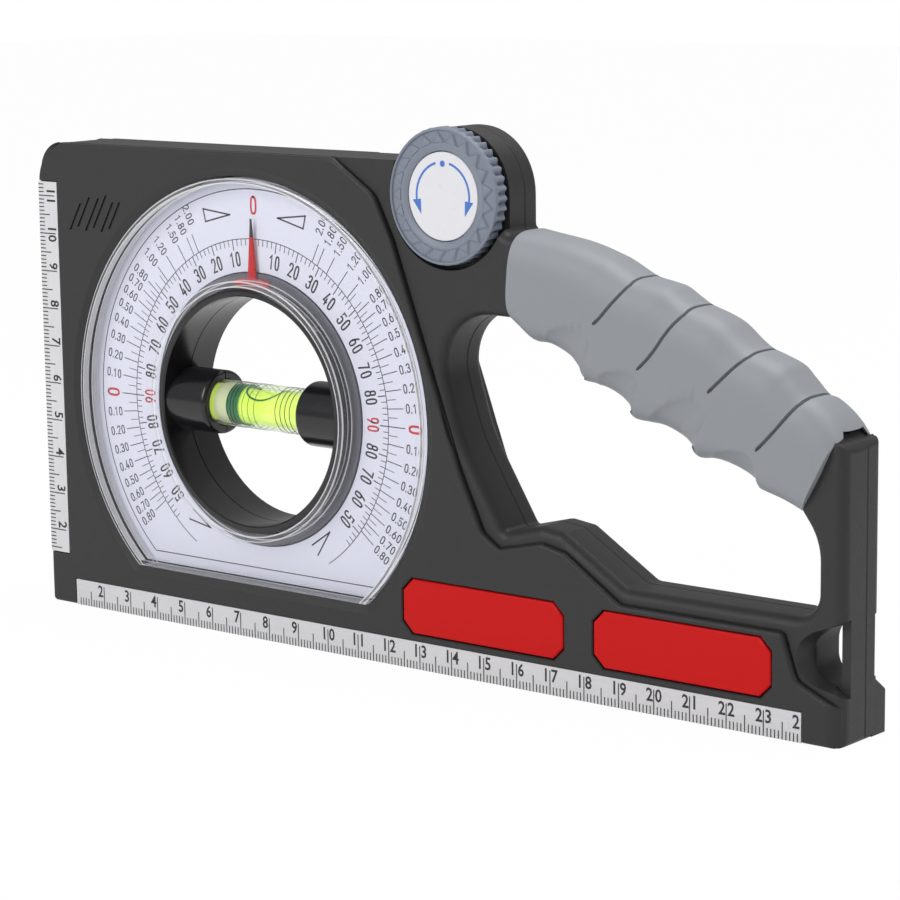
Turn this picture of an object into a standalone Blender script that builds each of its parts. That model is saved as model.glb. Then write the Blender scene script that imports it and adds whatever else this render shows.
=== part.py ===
"""Hand-held slope gauge: two half shells, a turning vial drum with a pointer, and a geared knob.

Lengths are in metres. Inside the tool frame X runs along the base from the left end,
Y runs into the depth from the front face and Z runs up from the underside of the base.
"""
import math

import bmesh
import bpy
from mathutils import Vector

MM = 0.001

# Fits shared by the whole tool
GAP = 0.3 * MM
OVERRUN = 2.0 * MM
WALL = 2.0 * MM

# Case
FRONT_DEPTH = 10.75 * MM
REAR_DEPTH = 9.25 * MM
PANEL_STEP = 1.4 * MM
REAR_STEP = 3.1 * MM
PANEL_CHAMFER = 0.6 * MM
PANEL_SETBACK = 0.1 * MM
FRAME_ROUND = 2.6 * MM
CORNER_RADIUS = 10.5 * MM
HEEL_RADIUS = 1.2 * MM
HANDLE_LENGTH = 117.5 * MM
BASE_HEIGHT = 28.0 * MM
RAIL_ROUND = 4.0 * MM
POST_THICKNESS = 7.2 * MM

# Dial cover, dial plate and their pocket
COVER_RADIUS = 59.4 * MM
COVER_FOOT_HEIGHT = 14.0 * MM
COVER_FOOT_SHARE = 0.7475
COVER_RIM = 1.2 * MM
COVER_WINDOW_DEPTH = 1.8 * MM
COVER_WINDOW_THICKNESS = 1.2 * MM
COVER_COLLAR_WIDTH = 1.7 * MM
COVER_COLLAR_DEPTH = 3.6 * MM
COVER_BACK_DEPTH = 5.1 * MM
SIDE_MARGIN = 13.5 * MM
TOP_MARGIN = 6.4 * MM
POCKET_CHAMFER = 2.2 * MM
POCKET_CHAMFER_DEPTH = 0.9 * MM
PLATE_DEPTH = 5.4 * MM
PLATE_THICKNESS = 1.0 * MM
PLATE_MARGIN = 0.4 * MM
POCKET_FLOOR = 1.3 * MM

# Drum, ring gear and pointer, all turning about the dial axis
DRUM_WALL = 2.0 * MM
DRUM_FRONT_DEPTH = 0.95 * MM
DRUM_BACK_INSET = 0.7 * MM
DRUM_LIP = 0.5 * MM
FLANGE_WIDTH = 2.6 * MM
FLANGE_THICKNESS = 1.6 * MM
POINTER_RING_WIDTH = 3.3 * MM
POINTER_RING_THICKNESS = 1.2 * MM
POINTER_LENGTH = 15.5 * MM
POINTER_BASE_WIDTH = 3.4 * MM
POINTER_TIP_WIDTH = 0.5 * MM
POINTER_THICKNESS = 0.6 * MM

# Vial across the drum
VIAL_LEAD = 0.75 * MM
VIAL_RADIUS = 5.9 * MM
VIAL_WALL = 1.0 * MM
VIAL_SETBACK = 8.7 * MM
SOCKET_REACH = 13.8 * MM
VIAL_END_WALL = 1.5 * MM
VIAL_PLUG_LENGTH = 3.0 * MM
SOCKET_RADIUS = 8.3 * MM
BUBBLE_HALF_LENGTH = 6.5 * MM
BUBBLE_DEPTH = 2.2 * MM
BUBBLE_WIDTH = 5.4 * MM
DRUM_SCREW_RADIUS = 0.9 * MM
DRUM_SCREW_HEAD_RADIUS = 1.8 * MM
DRUM_SCREW_HEAD = 1.0 * MM
DRUM_SCREW_LENGTH = 9.0 * MM

# Gear train from the drum to the knob
RING_TEETH = 80
IDLER_TEETH = 36
PINION_TEETH = 24
PRESSURE_ANGLE = math.radians(20)
BACKLASH = 0.24 * MM
RING_RIM = 8.34 * MM
GEAR_THICKNESS = 3.4 * MM
TRAIN_ANGLE = math.radians(41.15)
TRAIN_WEB = 11.0 * MM
IDLER_PIN_RADIUS = 2.0 * MM
IDLER_BOSS_WALL = 2.2 * MM

# Knob
KNOB_RADIUS = 16.4 * MM
KNOB_PROUD = 0.4 * MM
KNOB_THICKNESS = 4.4 * MM
KNOB_TEETH = 44
KNOB_TOOTH = 0.55 * MM
KNOB_EDGE = 0.5 * MM
KNOB_POCKET_CLEARANCE = 1.3 * MM
BOSS_INSET = 1.6 * MM
BOSS_SWEEP = math.radians(56)
KNOB_POCKET_DEPTH = 5.0 * MM
KNOB_FLOOR = 1.8 * MM
KNOB_REAR_RECESS = 4.8 * MM
LABEL_RADIUS = 10.5 * MM
LABEL_THICKNESS = 0.7 * MM
LABEL_SINK = 0.6 * MM
LABEL_BEVEL = 1.5 * MM
SHAFT_RADIUS = 2.5 * MM
SHAFT_SOCKET = 2.0 * MM
HUB_WALL = 2.2 * MM
WASHER_RADIUS = 8.5 * MM
WASHER_THICKNESS = 0.4 * MM
KNOB_SCREW_RADIUS = 1.2 * MM
KNOB_SCREW_HEAD_RADIUS = 3.6 * MM
KNOB_SCREW_HEAD = 1.6 * MM
KNOB_SCREW_LENGTH = 5.0 * MM

# Grip sleeve and the handle core inside it
SLEEVE_PROUD = 0.6 * MM
CORE_INSET = 2.6 * MM
CORE_CHAMFER = 2.5 * MM
CORE_SETBACK = 1.2 * MM
SCALLOP_DEPTH = 1.6 * MM
CREST_DEPTH = 0.7 * MM

# Rulers and coloured inserts
RULER_WIDTH = 6.9 * MM
RULER_THICKNESS = 0.8 * MM
RULER_EDGE = 0.2 * MM
BASE_RULER_START = 9.5 * MM
BASE_RULER_END_MARGIN = 9.9 * MM
SIDE_RULER_START = 13.9 * MM
SIDE_RULER_END_MARGIN = 10.5 * MM
INSERT_HEIGHT = 13.6 * MM
INSERT_CORNER = 3.0 * MM
INSERT_THICKNESS = 1.2 * MM
INSERT_SINK = 0.1 * MM
INSERT_SPACING = 8.9 * MM
INSERT_LIFT = 1.9 * MM
INSERT_END_MARGIN = 18.1 * MM

# Magnet strips in the underside
MAGNET_WIDTH = 8.4 * MM
MAGNET_THICKNESS = 1.0 * MM
MAGNET_SINK = 0.2 * MM
MAGNET_END_MARGIN = 14.0 * MM
MAGNET_SPACING = 12.0 * MM

# Case screws
SCREW_RADIUS = 1.25 * MM
SCREW_HEAD_RADIUS = 2.7 * MM
SCREW_HEAD = 1.7 * MM
SCREW_HEAD_DEPTH = 14.2 * MM
SCREW_TIP_DEPTH = 6.0 * MM
BOSS_WALL = 1.5 * MM
SCREW_EDGE = 9.6 * MM

# Lanyard slot beside the post
SLOT_WIDTH = 8.6 * MM
SLOT_FOOT = 12.8 * MM
SLOT_RADIUS = 3.2 * MM
SLOT_WEB = 2.4 * MM
SLOT_BACK_STEP = 1.7 * MM

# Places worked out from the sizes above
BODY_DEPTH = FRONT_DEPTH + REAR_DEPTH
DIAL_X = SIDE_MARGIN + COVER_RADIUS
DIAL_Z = COVER_FOOT_HEIGHT + COVER_FOOT_SHARE * COVER_RADIUS
DIAL_EDGE = DIAL_X + COVER_RADIUS
BODY_LENGTH = DIAL_EDGE + HANDLE_LENGTH
BODY_HEIGHT = DIAL_Z + COVER_RADIUS + TOP_MARGIN
FRONT_END = FRONT_DEPTH - GAP / 2
REAR_START = FRONT_DEPTH + GAP / 2
FRAME_BACK = BODY_DEPTH - REAR_STEP
KNOB_POCKET_RADIUS = KNOB_RADIUS + KNOB_POCKET_CLEARANCE
BOSS_RADIUS = KNOB_POCKET_RADIUS - BOSS_INSET
TRAIN_LENGTH = COVER_RADIUS + TRAIN_WEB + KNOB_POCKET_RADIUS
MODULE = TRAIN_LENGTH / (RING_TEETH / 2 + IDLER_TEETH + PINION_TEETH / 2)
DRUM_RADIUS = MODULE * RING_TEETH / 2 - RING_RIM - GAP
DRUM_BORE_RADIUS = DRUM_RADIUS - DRUM_WALL
VIAL_HALF_LENGTH = DRUM_BORE_RADIUS - VIAL_SETBACK
VIAL_SIGHT_HALF = DRUM_BORE_RADIUS - SOCKET_REACH
VIAL_DEPTH = FRONT_DEPTH - VIAL_LEAD
GEAR_DEPTH = VIAL_DEPTH + GAP
DRUM_BACK_DEPTH = BODY_DEPTH - DRUM_BACK_INSET
GEAR_BACK = GEAR_DEPTH + GEAR_THICKNESS
POCKET_DEPTH = PLATE_DEPTH + PLATE_THICKNESS + GAP
FLOOR_BACK = POCKET_DEPTH + POCKET_FLOOR
FLANGE_RADIUS = DRUM_RADIUS + FLANGE_WIDTH
RING_RADIUS = DRUM_RADIUS + GAP + POINTER_RING_WIDTH
IDLER_REACH = MODULE * (RING_TEETH + IDLER_TEETH) / 2
KNOB_X = DIAL_X + TRAIN_LENGTH * math.cos(TRAIN_ANGLE)
KNOB_Z = DIAL_Z + TRAIN_LENGTH * math.sin(TRAIN_ANGLE)
KNOB_BACK = KNOB_THICKNESS - KNOB_PROUD
POST_X = BODY_LENGTH - POST_THICKNESS
SLOT_TOP = BASE_HEIGHT - GAP * 2
CORE_BACK = FRAME_BACK - CORE_SETBACK
ROUND_STEPS = 44
DIAL_STEPS = 56
POST_STEPS = 12
ARC_STEP = math.radians(15)
SCREW_STEPS = 8

# Plain ratios
INSET_FLOOR_SHARE = 0.05
EDGE_USE_SHARE = 0.98
ADDENDUM_SHARE = 0.95
DEDENDUM_SHARE = 1.25
BUBBLE_TIP_SHARE = 0.15
CREST_LEAN_SHARE = 1.6
SCALLOP_LEAN_SHARE = 1.1
SECTION_POWER_SHARE = 0.62


def clear_scene():
    """Empty the file of objects."""
    for item in list(bpy.data.objects):
        bpy.data.objects.remove(item, do_unlink=True)


def material(name, color, roughness, metallic=0.0, alpha=1.0):
    """One Principled material for one sub-part finish."""
    made = bpy.data.materials.new(name)
    made.use_nodes = True
    shader = made.node_tree.nodes["Principled BSDF"]
    shader.inputs["Base Color"].default_value = (*color, 1.0)
    shader.inputs["Roughness"].default_value = roughness
    shader.inputs["Metallic"].default_value = metallic
    shader.inputs["Alpha"].default_value = alpha
    made.diffuse_color = (*color, alpha)
    return made


def pivot(name, parent=None, place=(0, 0, 0)):
    """An empty that carries the pieces of one moving group."""
    empty = bpy.data.objects.new(name, None)
    bpy.context.scene.collection.objects.link(empty)
    empty.parent = parent
    empty.location = place
    return empty


def finish(name, mesh_builder, parent, look=None, place=(0, 0, 0)):
    """Turn a bmesh into a named object under its carrier."""
    bmesh.ops.remove_doubles(mesh_builder, verts=mesh_builder.verts, dist=MM / 1000)
    bmesh.ops.recalc_face_normals(mesh_builder, faces=mesh_builder.faces)
    mesh = bpy.data.meshes.new(name)
    mesh_builder.to_mesh(mesh)
    mesh_builder.free()
    mesh.shade_smooth()
    mesh.set_sharp_from_angle(angle=math.radians(30))
    item = bpy.data.objects.new(name, mesh)
    bpy.context.scene.collection.objects.link(item)
    item.parent = parent
    item.location = place
    if look:
        mesh.materials.append(look)
    return item


def loft(name, rings, parent, look=None, place=(0, 0, 0), closed=False):
    """Join rings of points with equal counts; closed rings form a torus, others get end caps."""
    builder = bmesh.new()
    rows = [[builder.verts.new(point) for point in ring] for ring in rings]
    spans = list(zip(rows, rows[1:] + rows[:1])) if closed else list(zip(rows, rows[1:]))
    for near, far in spans:
        for index in range(len(near)):
            after = (index + 1) % len(near)
            builder.faces.new((near[index], near[after], far[after], far[index]))
    if not closed:
        builder.faces.new(rows[0])
        builder.faces.new(rows[-1])
    return finish(name, builder, parent, look, place)


def prism(name, levels, outline, parent, look=None, place=(0, 0, 0)):
    """Stack one outline in depth; each level is a depth and an inset. Repeated points are dropped."""
    outlines = [outline(inset) for depth, inset in levels]
    kept = [index for index in range(len(outlines[0]))
            if any(math.dist(points[index], points[index - 1]) > GAP / 3 for points in outlines)]
    rings = [[(points[index][0], depth, points[index][1]) for index in kept]
             for (depth, inset), points in zip(levels, outlines)]
    return loft(name, rings, parent, look, place)


def turned(name, profile, parent, look=None, place=(0, 0, 0), steps=ROUND_STEPS):
    """Turn a closed profile of (radius, depth) points about the depth axis."""
    rings = []
    for step in range(steps):
        angle = math.tau * step / steps
        rings.append([(r * math.cos(angle), y, r * math.sin(angle)) for r, y in profile])
    return loft(name, rings, parent, look, place, closed=True)


def disc(name, radius, start, end, parent, look=None, place=(0, 0, 0), steps=ROUND_STEPS, edge=0):
    """A round bar along the depth axis, with a small chamfer at both ends."""
    levels = [(start, edge), (start + edge, 0), (end - edge, 0), (end, edge)] if edge else \
        [(start, 0), (end, 0)]
    return prism(name, levels, lambda inset: circle(radius - inset, steps), parent, look, place)


def block(name, low, high, parent, look=None):
    """A plain box between two corners."""
    (x0, y0, z0), (x1, y1, z1) = low, high
    rings = [[(x0, y, z0), (x1, y, z0), (x1, y, z1), (x0, y, z1)] for y in (y0, y1)]
    return loft(name, rings, parent, look)


def combine(target, tool, operation="DIFFERENCE"):
    """Cut, join or intersect with a guide shape, which stays hidden as a wire."""
    change = target.modifiers.new(tool.name, "BOOLEAN")
    change.operation = operation
    change.solver = "EXACT"
    change.object = tool
    tool.hide_render = True
    tool.display_type = "WIRE"


def circle(radius, steps=ROUND_STEPS, turn=0.0):
    """Points of a circle about the origin."""
    angles = [turn + math.tau * step / steps for step in range(steps)]
    return [(radius * math.cos(angle), radius * math.sin(angle)) for angle in angles]


def meet(point_a, run_a, point_b, run_b):
    """Where two lines in the plane cross."""
    cross = run_a.x * run_b.y - run_a.y * run_b.x
    span = point_b - point_a
    if abs(cross) < 1e-9 * run_a.length * run_b.length:
        return point_b
    return point_a + run_a * ((span.x * run_b.y - span.y * run_b.x) / cross)


def inset_corners(corners, inset):
    """Move every edge of a counter-clockwise outline inwards by its own share of the inset."""
    points = [Vector(corner[:2]) for corner in corners]
    count = len(points)
    lines = []
    for index, corner in enumerate(corners):
        run = points[(index + 1) % count] - points[index]
        inward = Vector((-run.y, run.x)).normalized()
        share = corner[3] if len(corner) > 3 else 1
        lines.append((points[index] + inward * inset * share, run))
    return [meet(*lines[index - 1], *lines[index]) for index in range(count)]


def rounded(corners, inset=0.0, arc_step=ARC_STEP):
    """Outline points of (x, z, radius) corners, inset, with fillets limited by their edges."""
    moved = inset_corners(corners, inset)
    plain = [Vector(corner[:2]) for corner in corners]
    count = len(moved)
    tangents, bends = [], []
    for index in range(count):
        before = (plain[index] - plain[index - 1]).normalized()
        after = (plain[(index + 1) % count] - plain[index]).normalized()
        bend = math.atan2(before.x * after.y - before.y * after.x, before.dot(after))
        wanted = corners[index][2] - inset * math.copysign(1, bend)
        radius = max(wanted, corners[index][2] * INSET_FLOOR_SHARE) if corners[index][2] else 0
        bends.append(bend)
        tangents.append(radius * math.tan(abs(bend) / 2))
    limits = []
    for index in range(count):
        span = (moved[(index + 1) % count] - moved[index]).length
        used = tangents[index] + tangents[(index + 1) % count]
        limits.append(min(1.0, EDGE_USE_SHARE * span / used) if used > 0 else 1.0)
    points = []
    for index in range(count):
        reach = tangents[index] * min(limits[index], limits[index - 1])
        if corners[index][2] == 0:
            points.append(tuple(moved[index]))
            continue
        points += fillet(moved[index], moved[index - 1], moved[(index + 1) % count], reach,
                         bends[index], arc_step)
    return points


def fillet(corner, previous, following, reach, bend, arc_step):
    """Arc points that round one corner, starting and ending at a given reach from it."""
    start = corner + (previous - corner).normalized() * reach
    end = corner + (following - corner).normalized() * reach
    steps = max(1, math.ceil(abs(bend) / arc_step))
    radius = reach / math.tan(abs(bend) / 2)
    run = (corner - start).normalized()
    side = Vector((-run.y, run.x)) * math.copysign(1, bend)
    centre = start + side * radius
    points = [tuple(start)]
    for step in range(1, steps):
        angle = bend * step / steps
        arm = start - centre
        turned_arm = Vector((arm.x * math.cos(angle) - arm.y * math.sin(angle),
                             arm.x * math.sin(angle) + arm.y * math.cos(angle)))
        points.append(tuple(centre + turned_arm))
    points.append(tuple(end))
    return points


def edge_levels(flat, radius, towards, steps=2):
    """Depths and insets of a rounded edge, from the flat face at flat towards the seam side."""
    levels = []
    for step in range(steps + 1):
        angle = math.pi / 2 * step / steps
        levels.append((flat + towards * radius * (1 - math.cos(angle)), radius * (1 - math.sin(angle))))
    return levels


def at(length_share, height_share):
    """A place given as shares of the handle length, past the dial, and of the body height."""
    return DIAL_EDGE + length_share * HANDLE_LENGTH, height_share * BODY_HEIGHT


def corner_at(length_share, height_share, round_share):
    """An outline corner given wholly as shares."""
    return *at(length_share, height_share), round_share * BODY_HEIGHT


# Handle ends, as shares of the handle length and of the body height
NECK_TOP_SHARES = (0.2315, 0.8688)
CORE_TOP_START_SHARES = (0.2315, 0.8519)
CORE_TOP_MID_SHARES = ((0.406, 0.8253), (0.7634, 0.6844))
CORE_TOP_END_SHARES = (0.9779, 0.562)
POST_TOP_SHARES = (0.9872, 0.5725)
POST_CORNER_SHARE = 0.5652
CORE_FOOT_END_SHARES = (0.9038, 0.4388)
POST_INSIDE_SHARES = (0.8945, 0.4235)
CORE_FOOT_MID_SHARES = ((0.6443, 0.5209), (0.3762, 0.6353))
HANDLE_TOP_MID_SHARES = ((0.406, 0.8446), (0.7634, 0.7037))
HANDLE_FOOT_MID_SHARES = ((0.634, 0.4984), (0.3651, 0.6135))
CORE_FOOT_START_SHARES = (0.2153, 0.7287)
NECK_FOOT_SHARES = (0.2136, 0.7126)
SWEEP_SHARE = 0.48
POST_INSIDE_SHARE = 0.4179

# Screws beside the dial, in the neck and in the post
TOP_SCREW_SHARES = (-0.241, 0.95)
DIAL_SCREW_SHARES = (0.006, 0.219)
NECK_SCREW_SHARES = (0.146, 0.781)
POST_SCREW_SHARE = 0.507

# Finger opening and the ridge beside it: each is length, height and rounding
LOOP_SILL_SHARES = ((0.1957, 0.2995, 0.012), (0.2868, 0.3213, 0.024), (0.3421, 0.3148, 0.016))
LOOP_RAIL_SHARE = 0.4979
LOOP_ARCH_SHARES = ((0.0026, 0.7158, 0.105), (0.0817, 0.4718, 0.32))
RIDGE_END_SHARE = 0.0725
RIDGE_SHARES = ((0.8996, 0.1127, 0.03), (0.8698, 0.1965, 0.01), (0.4911, 0.1973, 0.03),
                (0.3549, 0.2802, 0.02), (0.297, 0.2915, 0.02), (0.1889, 0.2681, 0.012),
                (0.1472, 0.2947, 0.03), (0.0868, 0.413, 0.25), (-0.0826, 0.8454, 0.1),
                (-0.1302, 0.9324, 0.065))
RIDGE_TOP_SHARE = -0.2409


def silhouette_corners(panel_share):
    """Outer outline, counter-clockwise; panel_share scales the rounding where the panel reaches it."""
    sweep = SWEEP_SHARE * BODY_HEIGHT
    return [
        (0, 0, HEEL_RADIUS, panel_share),
        (BODY_LENGTH, 0, HEEL_RADIUS),
        (BODY_LENGTH, POST_CORNER_SHARE * BODY_HEIGHT, PANEL_STEP + WALL / 2),
        (*at(*POST_TOP_SHARES), 0),
        (*at(*HANDLE_TOP_MID_SHARES[1]), sweep),
        (*at(*HANDLE_TOP_MID_SHARES[0]), sweep),
        (*at(*NECK_TOP_SHARES), 0),
        *boss_corners(panel_share),
    ]


def boss_corners(panel_share):
    """The part of the outer outline round the knob and along the top."""
    top = KNOB_Z + BOSS_RADIUS
    shoulder = KNOB_X - BOSS_RADIUS * math.tan(BOSS_SWEEP / 2)
    return [
        (KNOB_X + BOSS_RADIUS, at(*NECK_TOP_SHARES)[1], WALL),
        (KNOB_X + BOSS_RADIUS, top, BOSS_RADIUS),
        (shoulder, top, BOSS_RADIUS),
        (shoulder - (top - BODY_HEIGHT) / math.tan(BOSS_SWEEP), BODY_HEIGHT, HEEL_RADIUS, panel_share),
        (0, BODY_HEIGHT, CORNER_RADIUS, panel_share),
    ]


def hollow_corners():
    """Outer outline without its shoulders, for the hollow inside."""
    sweep = SWEEP_SHARE * BODY_HEIGHT
    neck = at(*CORE_TOP_START_SHARES)
    return [
        (0, 0, HEEL_RADIUS),
        (BODY_LENGTH, 0, HEEL_RADIUS),
        (BODY_LENGTH, at(*CORE_TOP_END_SHARES)[1] - WALL, 0),
        (*at(*CORE_TOP_MID_SHARES[1]), sweep),
        (*at(*CORE_TOP_MID_SHARES[0]), sweep),
        (KNOB_X + BOSS_RADIUS, neck[1], 0),
        *boss_corners(1)[1:],
    ]


def hollow_loop_corners():
    """Finger opening without its shoulders, for the hollow inside."""
    whole = loop_corners()
    foot_end = at(*CORE_FOOT_END_SHARES)
    sweep = SWEEP_SHARE * BODY_HEIGHT
    return [*whole[:5], (POST_X, foot_end[1] - WALL, WALL),
            *((*at(*pair), sweep) for pair in CORE_FOOT_MID_SHARES),
            (*at(*CORE_FOOT_START_SHARES), WALL), *whole[-2:]]


def loop_corners():
    """Finger opening, counter-clockwise."""
    sweep = SWEEP_SHARE * BODY_HEIGHT
    return [
        *(corner_at(*triple) for triple in LOOP_SILL_SHARES),
        (at(LOOP_RAIL_SHARE, 0)[0], BASE_HEIGHT, RAIL_ROUND),
        (POST_X, BASE_HEIGHT, RAIL_ROUND),
        (POST_X, POST_INSIDE_SHARE * BODY_HEIGHT, RAIL_ROUND + HEEL_RADIUS),
        (*at(*POST_INSIDE_SHARES), 0),
        (*at(*HANDLE_FOOT_MID_SHARES[0]), sweep),
        (*at(*HANDLE_FOOT_MID_SHARES[1]), sweep),
        (*at(*NECK_FOOT_SHARES), 0),
        *(corner_at(*triple) for triple in LOOP_ARCH_SHARES),
    ]


def panel_corners():
    """Raised face panel, counter-clockwise, set back from the sides, with its ridge."""
    edge, foot = PANEL_SETBACK, BODY_LENGTH - 2 * PANEL_CHAMFER
    top = BODY_HEIGHT - edge
    return [
        (edge, edge, HEEL_RADIUS),
        (foot, edge, HEEL_RADIUS),
        (foot, RIDGE_END_SHARE * BODY_HEIGHT, 0),
        *(corner_at(*triple) for triple in RIDGE_SHARES),
        (at(RIDGE_TOP_SHARE, 0)[0], top, CORNER_RADIUS / 2),
        (edge, top, CORNER_RADIUS),
    ]


def core_corners(spread):
    """Outline of the handle core, run past both ends, for the sleeve's bore and the case recess."""
    tops = [at(*CORE_TOP_END_SHARES), *(at(*pair) for pair in reversed(CORE_TOP_MID_SHARES)),
            at(*CORE_TOP_START_SHARES)]
    feet = [at(*CORE_FOOT_START_SHARES), *(at(*pair) for pair in reversed(CORE_FOOT_MID_SHARES)),
            at(*CORE_FOOT_END_SHARES)]
    tops = [extend(tops[1], tops[0], spread), *tops[1:3], extend(tops[2], tops[3], spread)]
    feet = [extend(feet[1], feet[0], spread), *feet[1:3], extend(feet[2], feet[3], spread)]
    sweep = SWEEP_SHARE * BODY_HEIGHT
    return [(*tops[0], 0), (*tops[1], sweep), (*tops[2], sweep), (*tops[3], 0),
            (*feet[0], 0), (*feet[1], sweep), (*feet[2], sweep), (*feet[3], 0)]


def handle_core(name, spread, frame):
    """The handle inside the sleeve, with chamfered edges, grown by spread."""
    corners = core_corners(POST_THICKNESS)
    near, far, cut = CORE_INSET - spread, CORE_BACK + spread, CORE_CHAMFER
    levels = [(near, cut - spread), (near + cut, -spread), (far - cut, -spread), (far, cut - spread)]
    return prism(name, levels, lambda inset: rounded(corners, inset), frame)


def extend(inner, end, extra):
    """Carry the line from inner to end on by extra."""
    run = Vector(end) - Vector(inner)
    return tuple(Vector(end) + run.normalized() * extra)


def dial_outline(spread=0.0, steps=DIAL_STEPS):
    """Circle of the dial cover cut off by its flat foot, grown by spread."""
    radius = COVER_RADIUS + spread
    foot = -COVER_FOOT_SHARE * COVER_RADIUS - spread
    half = math.acos(-foot / radius)
    start = -math.pi / 2 + half
    sweep = math.tau - 2 * half
    angles = [start + sweep * step / steps for step in range(steps + 1)]
    return [(radius * math.cos(angle), radius * math.sin(angle)) for angle in angles]


def gear_outline(teeth, phase):
    """Straight-sided approximation of involute teeth that always stays inside the true flanks."""
    pitch = MODULE * teeth / 2
    base = pitch * math.cos(PRESSURE_ANGLE)
    tip = pitch + MODULE * ADDENDUM_SHARE
    root = pitch - MODULE * DEDENDUM_SHARE
    half_pitch = math.pi / (2 * teeth) - BACKLASH / (4 * pitch)
    points = []
    for tooth in range(teeth):
        middle = phase + math.tau * tooth / teeth
        half_tip = half_pitch + involute(PRESSURE_ANGLE) - involute(math.acos(base / tip))
        low = max(root, base)
        half_low = half_pitch + involute(PRESSURE_ANGLE) - involute(math.acos(base / low))
        flank = [(root, half_low), (tip, half_tip)]
        for radius, half in flank:
            points.append((radius * math.cos(middle - half), radius * math.sin(middle - half)))
        for radius, half in reversed(flank):
            points.append((radius * math.cos(middle + half), radius * math.sin(middle + half)))
    return points


def involute(angle):
    """The involute function."""
    return math.tan(angle) - angle


def idler_place():
    """Centre of the idler gear in the tool frame."""
    return (DIAL_X + IDLER_REACH * math.cos(TRAIN_ANGLE), DIAL_Z + IDLER_REACH * math.sin(TRAIN_ANGLE))


def screw_places():
    """Centres of the case screws, each near a stretch of the outline it draws together."""
    insert_middle = insert_boxes()[0][1] + INSERT_SPACING / 2
    return {
        "top_left": (SCREW_EDGE, BODY_HEIGHT - SCREW_EDGE),
        "bottom_left": (SCREW_EDGE, RULER_WIDTH + GAP + SCREW_EDGE / 2),
        "top_right": (at(*TOP_SCREW_SHARES)[0], BODY_HEIGHT - SCREW_EDGE / 2 - RULER_EDGE),
        "beside_dial": at(*DIAL_SCREW_SHARES),
        "base_middle": (insert_middle, insert_foot() + INSERT_HEIGHT / 2),
        "base_end": (POST_X - SLOT_WIDTH + SLOT_WEB, insert_foot() + INSERT_HEIGHT / 2),
        "neck": at(*NECK_SCREW_SHARES),
        "post_top": (BODY_LENGTH - POST_THICKNESS / 2, POST_SCREW_SHARE * BODY_HEIGHT),
    }


def insert_foot():
    """Height of the lower edge of the coloured inserts."""
    return RULER_EDGE + RULER_WIDTH + INSERT_LIFT


def insert_boxes():
    """Start and end of each coloured insert along the base."""
    first = DIAL_EDGE - INSERT_SPACING + RULER_THICKNESS + 2 * GAP
    last = BODY_LENGTH - INSERT_END_MARGIN
    length = (last - first - INSERT_SPACING) / 2
    return [(first, first + length), (last - length, last)]


def insert_outline(start, end, spread):
    """Octagon of one coloured insert."""
    cut = INSERT_CORNER
    low, high = insert_foot() - spread, insert_foot() + INSERT_HEIGHT + spread
    left, right = start - spread, end + spread
    return [(left + cut, low), (right - cut, low), (right, low + cut), (right, high - cut),
            (right - cut, high), (left + cut, high), (left, high - cut), (left, low + cut)]


def magnet_boxes():
    """Start and end of each magnet strip along the base."""
    first, last = MAGNET_END_MARGIN, BODY_LENGTH - MAGNET_END_MARGIN
    length = (last - first - MAGNET_SPACING) / 2
    return [(first, first + length), (last - length, last)]


def slot_corners(spread=0.0):
    """Lanyard slot between the base and the foot of the post."""
    right = BODY_LENGTH - SLOT_WEB + spread
    left = right - SLOT_WIDTH - 2 * spread
    low, high = SLOT_FOOT - spread, SLOT_TOP + spread
    return [(left, low, SLOT_RADIUS), (right, low, SLOT_RADIUS / 3),
            (right, high, SLOT_RADIUS / 3), (left, high, SLOT_WIDTH - SLOT_RADIUS / 2)]


def case_cavity(name, start, end, panel_end, frame):
    """Hollow of one half shell: shallow everywhere, deeper behind the face panel."""
    cavity = prism(name, [(start, WALL), (end, WALL)],
                   lambda inset: rounded(hollow_corners(), inset), frame)
    loop = prism(name + "_loop", [(start - OVERRUN, -WALL), (end + OVERRUN, -WALL)],
                 lambda inset: rounded(hollow_loop_corners(), inset), frame)
    combine(cavity, loop)
    deeper = prism(name + "_panel", [(end - OVERRUN, 2 * WALL), (panel_end, 2 * WALL)]
                   if panel_end > end else [(panel_end, 2 * WALL), (start + OVERRUN, 2 * WALL)],
                   lambda inset: rounded(panel_corners(), inset), frame)
    combine(cavity, deeper, "UNION")
    return cavity


def keep_posts(cavity, posts, frame):
    """Leave posts of material standing in a cavity; each is a name, centre, radius and depths."""
    for name, (x, z), radius, start, end in posts:
        combine(cavity, disc(cavity.name + "_" + name, radius, start, end, frame, place=(x, 0, z),
                             steps=ROUND_STEPS if radius > BOSS_RADIUS else POST_STEPS))


def drill(shell, name, place, radius, start, end, frame, steps=POST_STEPS):
    """Bore one round hole along the depth."""
    combine(shell, disc(shell.name + "_" + name, radius, start, end, frame,
                        place=(place[0], 0, place[1]), steps=steps))


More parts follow.
